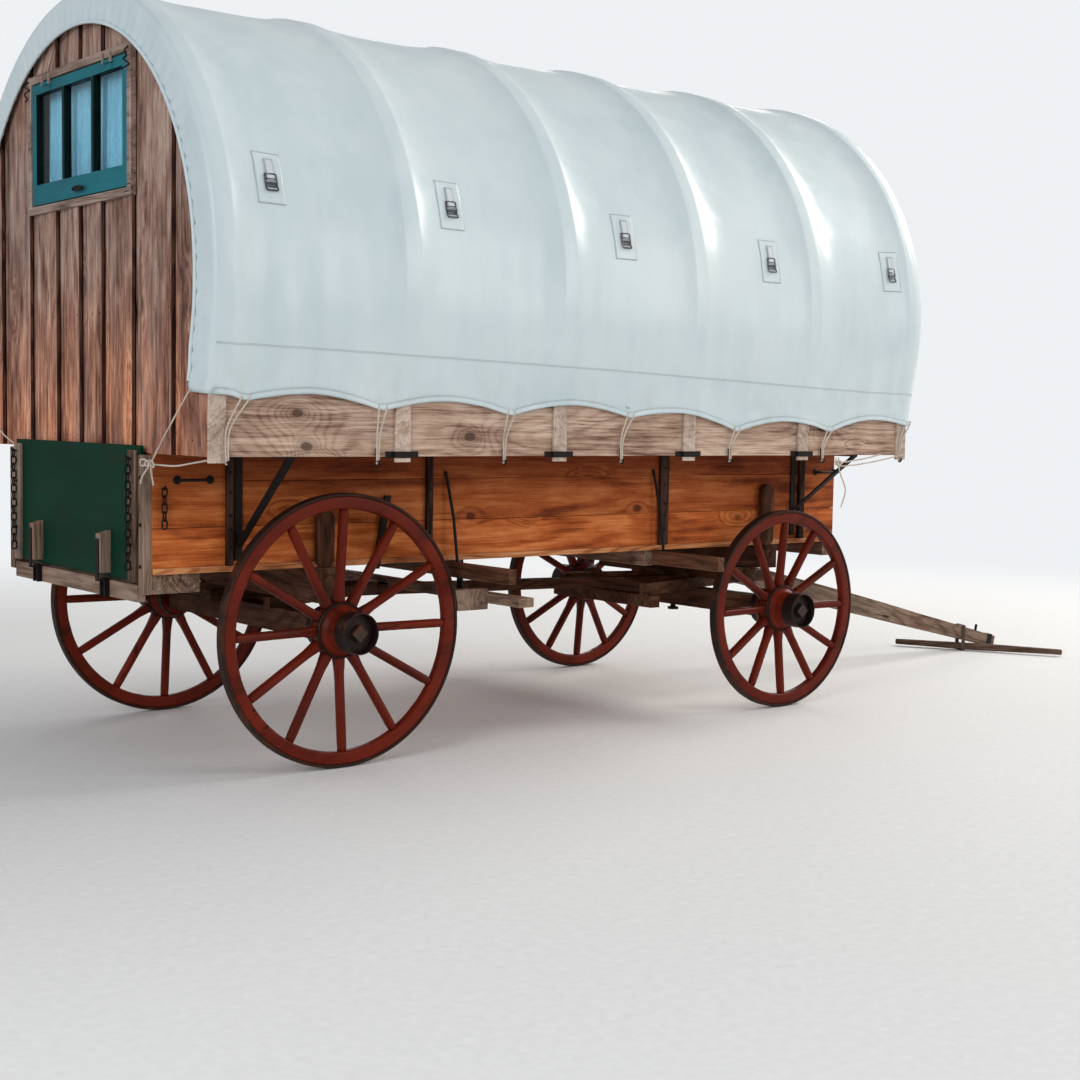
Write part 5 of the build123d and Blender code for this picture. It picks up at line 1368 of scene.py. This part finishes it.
def build_window():
    sash_low, sash_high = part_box("window_sash")
    inner_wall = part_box("rear_wall")[1][0]
    rod_x, rod_z = inner_wall + 0.022, sash_high[2] - 0.004
    half = sash_high[1] + 0.012
    bm = bmesh.new()
    bar(bm, [(rod_x, y, rod_z) for y in np.linspace(-half, half, 12)], 0.006, 10)
    for side in (-1.0, 1.0):
        y = side * (half - 0.015)
        arm = [(inner_wall + 0.001, y, rod_z + 0.012), (rod_x, y, rod_z + 0.010), (rod_x + 0.009, y, rod_z),
               (rod_x, y, rod_z - 0.009)]
        bar(bm, smooth_path(arm, 5), 0.003, 6)
    finished(bm, "curtain_rod", "wagon", "black_iron", seed=21)
    # Boards lining the window opening inside, in the painted shade, so that the panes' sides read dark
    bm = bmesh.new()
    opening = sash_high[1] + 0.003
    back, front = inner_wall - 0.006, inner_wall + 0.034
    for side in (-1.0, 1.0):
        near, far = side * (opening - 0.018), side * opening
        skin(bm, [[(back, near, z), (front, near, z), (front, far, z), (back, far, z)]
                  for z in (sash_low[2] - 0.002, rod_z - 0.010)], caps=True)
    face_outward(bm)
    finished(bm, "window_lining", "wagon", "teal_paint", "reveal_shade", bevel=0.002, seed=24)
    for index, (start, end) in enumerate(((-half + 0.03, -0.01), (0.012, half - 0.03))):
        y = np.linspace(start, end, 150)[None, :]
        down = np.linspace(0.0, 1.0, 26)[:, None]
        z = rod_z + 0.008 - down * (rod_z - glass_low[2] + 0.055)
        grow = 0.35 + 0.65 * down ** 0.6
        wave = np.sin(2 * pi * y / 0.052 + 1.3 * np.sin(9.0 * y + index) + 0.5 * down)
        x = rod_x + 0.004 + 0.0125 * grow * wave + 0.003 * np.sin(2 * pi * y / 0.17 + 2.0 * down)
        swing = 0.006 * grow * np.sin(2 * pi * y / 0.09 + down)
        full = np.stack([x, y + swing, z * np.ones_like(y)], axis=-1)
        cloth = np.stack([down * np.ones_like(y), y * np.ones_like(down), np.zeros_like(x)], axis=-1)
        piece = open_grid(f"curtain_{index + 1}", full, 0.0008, cloth)
        dress(piece, "wagon", "canvas", "curtain")
    bm = bmesh.new()
    dish = ((1.0, -0.0010), (1.0, 0.0030), (0.92, 0.0042), (0.80, 0.0030), (0.66, 0.0006), (0.2, 0.0004))
    skin(bm, [[(sash_low[0] - proud, pull_place[0] + pull_size[0] / 2 * share * cos(a),
                pull_place[1] + pull_size[1] / 2 * share * sin(a)) for a in np.linspace(0, 2 * pi, 37)[:-1]]
              for share, proud in dish], caps=True)
    finished(bm, "sash_pull", body_of["window_sash"], "black_iron", seed=22)
    # Thin strips in a darker teal over the faces of the sash's upright bars
    bm = bmesh.new()
    for middle in (-bar_middle, bar_middle):
        corners = [(sash_face - out, middle + across) for out, across in
                   ((-0.001, -bar_half), (0.0009, -bar_half), (0.0009, bar_half), (-0.001, bar_half))]
        ends = (glass_low[2] + 0.001, glass_high[2] - 0.001)
        skin(bm, [[(*place, z) for place in corners] for z in ends], caps=True)
    face_outward(bm)
    finished(bm, "sash_bar_faces", body_of["window_sash"], "teal_paint", "dark_bar_teal", seed=25)
    bm = bmesh.new()
    for side in (-1.0, 1.0):
        top = Vector((casing_face - 0.003, side * 0.484, sash_high[2] + 0.020))
        curl = [top + Vector((-0.008 * (1 - cos(1.5 * a)), side * 0.013 * sin(a), -0.026 * a / pi))
                for a in np.linspace(0.0, 3.4 * pi, 34)]
        bar(bm, curl, 0.0030)
    finished(bm, "casing_catches", "wagon", "black_iron", seed=23)


# Heads of nails and bolts

def studs(name, body, radius, height, facing, places):
    """Domed heads at places on a surface, which stand out along an axis: its number and its sign.

    Without a sign the heads stand away from the wagon's middle."""
    bm = bmesh.new()
    draw = random.Random(name)
    for place in places:
        out = Vector((0.0, 0.0, 0.0))
        out[facing[0]] = facing[1] or (1.0 if place[1] > 0 else -1.0)
        one = out.orthogonal().normalized()
        two = out.cross(one)
        spin = draw.uniform(0, pi)
        round_it = [cos(a) * one + sin(a) * two for a in (spin + 2 * pi * k / 8 for k in range(8))]
        skin(bm, [[Vector(place) + out * rise * height + radius * share * spoke for spoke in round_it]
                  for share, rise in ((1.0, -0.3), (1.0, 0.25), (0.8, 0.75), (0.4, 1.0))], caps=True)
    finished(bm, name, body, "black_iron", seed=name)


def build_fastenings():
    sides = (-1.0, 1.0)
    rib_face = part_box("box_ribs")[1][1]
    ribs = sorted({round(float(mean_place(part)[0]), 4) for part in parts_of("box_ribs")})
    heights = (0.905, 0.975, 1.03, 1.12, 1.20)
    studs("rib_bolts", "wagon", 0.0065, 0.004, (1, None),
          [(x, side * rib_face, z) for side in sides for x in ribs for z in heights])
    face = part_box("rear_battens")[0][0]
    places = []
    for left, right in zip((1.13, *lap_lines), (*lap_lines, -1.13)):
        for y in (right + 0.022, right + 0.5 * (left - right)):
            sunk = (board_thickness + board_gap) * (y - right) / (left - right)
            places += [(face + sunk + 0.001, y, z) for z in (1.33, 1.82)]
    studs("rear_wall_nails", "wagon", 0.0032, 0.0015, (0, -1.0), places)
    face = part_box("front_wall")[1][0]
    across = (-0.95, -0.78, -0.62, -0.46, 0.46, 0.62, 0.78, 0.95)
    studs("front_wall_nails", "wagon", 0.0042, 0.002, (0, 1.0),
          [(face, y, z) for y in across for z in (1.36, 1.80, 2.25)])
    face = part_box("tailgate")[0][0] - 0.016
    studs("cleat_bolts", body_of["tailgate"], 0.0085, 0.005, (0, -1.0),
          [(face, side * 0.57, z) for side in sides for z in (0.83, 0.92, 1.02, 1.12, 1.21)])
    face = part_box("corner_posts")[0][0]
    studs("post_bolts", "wagon", 0.0085, 0.005, (0, -1.0),
          [(face, side * 0.640, z) for side in sides for z in (0.84, 1.0, 1.18)])


# Hand irons on the box sides

def build_hand_irons():
    bm = bmesh.new()
    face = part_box("box_sides")[1][1]
    z = 1.171
    for side in (-1.0, 1.0):
        y_in, y_mid, y_out = (side * (face + out) for out in (0.001, 0.018, 0.030))
        for start, end in ((-2.9636, -2.8226), (0.6634, 0.806)):
            path = [(start, y_in, z), (start + 0.004, y_mid, z), (start + 0.018, y_out, z),
                    ((start + end) / 2, y_out + side * 0.002, z), (end - 0.018, y_out, z),
                    (end - 0.004, y_mid, z), (end, y_in, z)]
            bar(bm, smooth_path(path, 5), 0.0062)
            for x in (start, end):
                turns = np.linspace(0, 2 * pi, 13)[:-1]
                foot = ((0.017, -0.001), (0.017, 0.003), (0.014, 0.005), (0.006, 0.0055))
                skin(bm, [[(x + r * cos(a), side * (face + h), z + r * sin(a)) for a in turns]
                          for r, h in foot], caps=True)
    finished(bm, "hand_irons", "wagon", "black_iron", seed=31)


# Timbers and small irons that keep their CAD form: rounding, unevenness and the step of the unevenness
finish_rows = {
    "side_rails": (0.004, 0.0016, 0.11), "box_sides": (0.0025, 0.0014, 0.12),
    "sill_strips": (0.003, 0.0008, 0.1), "box_ribs": (0.003, 0.0, 0.1),
    "corner_posts": (0.004, 0.0012, 0.07), "front_wall": (0.003, 0.0014, 0.09),
    "front_battens": (0.003, 0.001, 0.1), "tailgate": (0.003, 0.0012, 0.1),
    "tailgate_cleats": (0.003, 0.0, 0.1), "cross_sills": (0.004, 0.0014, 0.08),
    "outriggers": (0.004, 0.0012, 0.08), "rear_axle": (0.003, 0.0, 0.1), "front_axle": (0.003, 0.0, 0.1),
    "rear_bolster": (0.006, 0.0018, 0.08), "front_bolster": (0.005, 0.0, 0.1),
    "bolster_stakes": (0.006, 0.0015, 0.06), "reach": (0.005, 0.0018, 0.12),
    "rear_hounds": (0.004, 0.0015, 0.08), "front_hounds": (0.004, 0.0015, 0.08),
    "sand_board": (0.004, 0.0, 0.1), "tongue": (0.006, 0.0022, 0.09), "neck_yoke": (0.005, 0.0018, 0.06),
    "brake_beam": (0.004, 0.0018, 0.08), "window_casing": (0.003, 0.0012, 0.06),
    "window_sash": (0.003, 0.0006, 0.08), "bench_decks": (0.003, 0.0, 0.1),
    "yoke_strap": (0.001, 0.0, 0.1), "window_glass": (0.0003, 0.0, 0.1),
    "door_lower": (0.003, 0.001, 0.1), "door_upper": (0.003, 0.001, 0.1),
}
plain_row = (0.0015, 0.0, 0.1)
other_look = {"window_casing": "trim_wood", "hoops": "leg_wood", "bolster_stakes": "gear_wood",
              "corner_posts": "weathered_wood", "front_wall": "front_wood", "front_battens": "trim_wood"}
corners = ("rear_left", "rear_right", "front_left", "front_right")
rebuilt = {"cover", "tailgate_chains", "side_chain", "rear_wall", "rear_battens"}
rebuilt |= {f"{corner}_{part}" for corner in corners for part in ("wheel", "tyre", "hub_bands")}
for node in sorted(set(frame["nodes"]) - rebuilt):
    piece = worn(node, *finish_rows.get(node, plain_row), other_look.get(node))
    if node == "window_sash":
        finish_sash(piece)
    if node == "hinge_pins":
        second_look(piece, "trim_wood", lambda at, n: at.x < -2.9 and at.z > 2.5)
    if node == "front_battens":
        second_look(piece, "gap_shade", lambda at, n: abs(n.y) > 0.6)
    if node in ("rear_axle", "front_axle"):
        turn_nuts(piece, node)
        second_look(piece, "nut_iron", lambda at, n: abs(at.y) > 0.645)

build_cover()
build_seams()
build_tabs()
build_lashings()
build_drawstrings()
build_front_stays()
for corner in corners:
    build_wheel(corner)
build_rear_wall()
build_chains()
build_window()
build_fastenings()
build_hand_irons()


# Light, floor and camera

def area_light(name, place, size, power, colour, target=(-1.0, 0.0, 1.4)):
    data = bpy.data.lights.new(name, "AREA")
    data.shape = "RECTANGLE"
    data.size, data.size_y = size
    data.energy = power
    data.color = colour
    lamp = new_object(name, data)
    lamp.location = place
    lamp.rotation_euler = (Vector(target) - Vector(place)).to_track_quat("-Z", "Y").to_euler()


def set_stage():
    """Pale floor, pale surroundings and soft lights."""
    surroundings = (0.86, 0.88, 0.90)
    bm = bmesh.new()
    bmesh.ops.create_grid(bm, x_segments=1, y_segments=1, size=60.0)
    floor = new_object("floor", mesh_from(bm, "floor"))
    floor.location = (0.0, 0.0, -0.0015)
    look = Look("floor")
    place = look.where()
    grit = look.noise(place, (30.0, 30.0, 30.0), detail=4.0)
    pale = look.ramp(grit, (0.3, (0.78, 0.775, 0.765)), (0.7, (0.84, 0.835, 0.825)))
    look.set(Base_Color=pale, Roughness=0.85)
    far = look.band(look.vector("LENGTH", place), 4.0, 9.5)
    seen_far = look.times(far, look.node("ShaderNodeLightPath").outputs["Is Camera Ray"])
    glow = look.node("ShaderNodeEmission")
    look.put(glow.inputs["Color"], surroundings)
    both = look.node("ShaderNodeMixShader")
    look.put(both.inputs[0], seen_far)
    look.tree.links.new(look.shader.outputs[0], both.inputs[1])
    look.tree.links.new(glow.outputs[0], both.inputs[2])
    look.tree.links.new(both.outputs[0], look.tree.get_output_node("ALL").inputs["Surface"])
    floor.data.materials.append(look.material)

    world = bpy.data.worlds.new("studio")
    bpy.context.scene.world = world
    world.use_nodes = True
    tree = world.node_tree
    tree.nodes.clear()
    output = tree.nodes.new("ShaderNodeOutputWorld")
    seen = tree.nodes.new("ShaderNodeBackground")
    seen.inputs["Color"].default_value = (*surroundings, 1.0)
    seen.inputs["Strength"].default_value = 1.0
    lit = tree.nodes.new("ShaderNodeBackground")
    lit.inputs["Color"].default_value = (0.90, 0.94, 1.0, 1.0)
    lit.inputs["Strength"].default_value = 0.40
    rays = tree.nodes.new("ShaderNodeLightPath")
    either = tree.nodes.new("ShaderNodeMath")
    either.operation = "MAXIMUM"
    tree.links.new(rays.outputs["Is Camera Ray"], either.inputs[0])
    tree.links.new(rays.outputs["Is Transmission Ray"], either.inputs[1])
    mixed = tree.nodes.new("ShaderNodeMixShader")
    tree.links.new(either.outputs[0], mixed.inputs[0])
    tree.links.new(lit.outputs[0], mixed.inputs[1])
    tree.links.new(seen.outputs[0], mixed.inputs[2])
    tree.links.new(mixed.outputs[0], output.inputs["Surface"])

    area_light("key", (17.5, -1.3, 10.6), (14.0, 4.0), 3000.0, (1.0, 0.96, 0.90))
    area_light("rim", (12.5, 14.0, 6.5), (9.0, 5.0), 700.0, (1.0, 0.95, 0.88))
    area_light("fill", (-17.5, -8.5, 7.5), (8.0, 8.0), 1330.0, (0.96, 0.975, 1.0))
    area_light("side", (9.0, -15.0, 6.5), (7.0, 7.0), 740.0, (1.0, 0.97, 0.92))


def set_camera():
    yaw, down, roll = radians(camera_yaw), radians(camera_down), radians(camera_roll)
    ahead = Vector((-sin(yaw) * cos(down), cos(yaw) * cos(down), -sin(down)))
    level = Vector((cos(yaw), sin(yaw), 0.0))
    upward = level.cross(ahead)
    right = cos(roll) * level + sin(roll) * upward
    top = -sin(roll) * level + cos(roll) * upward
    data = bpy.data.cameras.new("camera")
    data.lens = camera_lens
    data.sensor_width = sensor_width
    data.sensor_fit = "HORIZONTAL"
    data.clip_end = 200.0
    camera = new_object("camera", data)
    turn = Matrix((right, top, -ahead)).transposed().to_4x4()
    camera.matrix_world = Matrix.Translation(camera_place) @ turn
    bpy.context.scene.camera = camera


set_stage()
set_camera()
bpy.context.scene.view_settings.view_transform = "Standard"
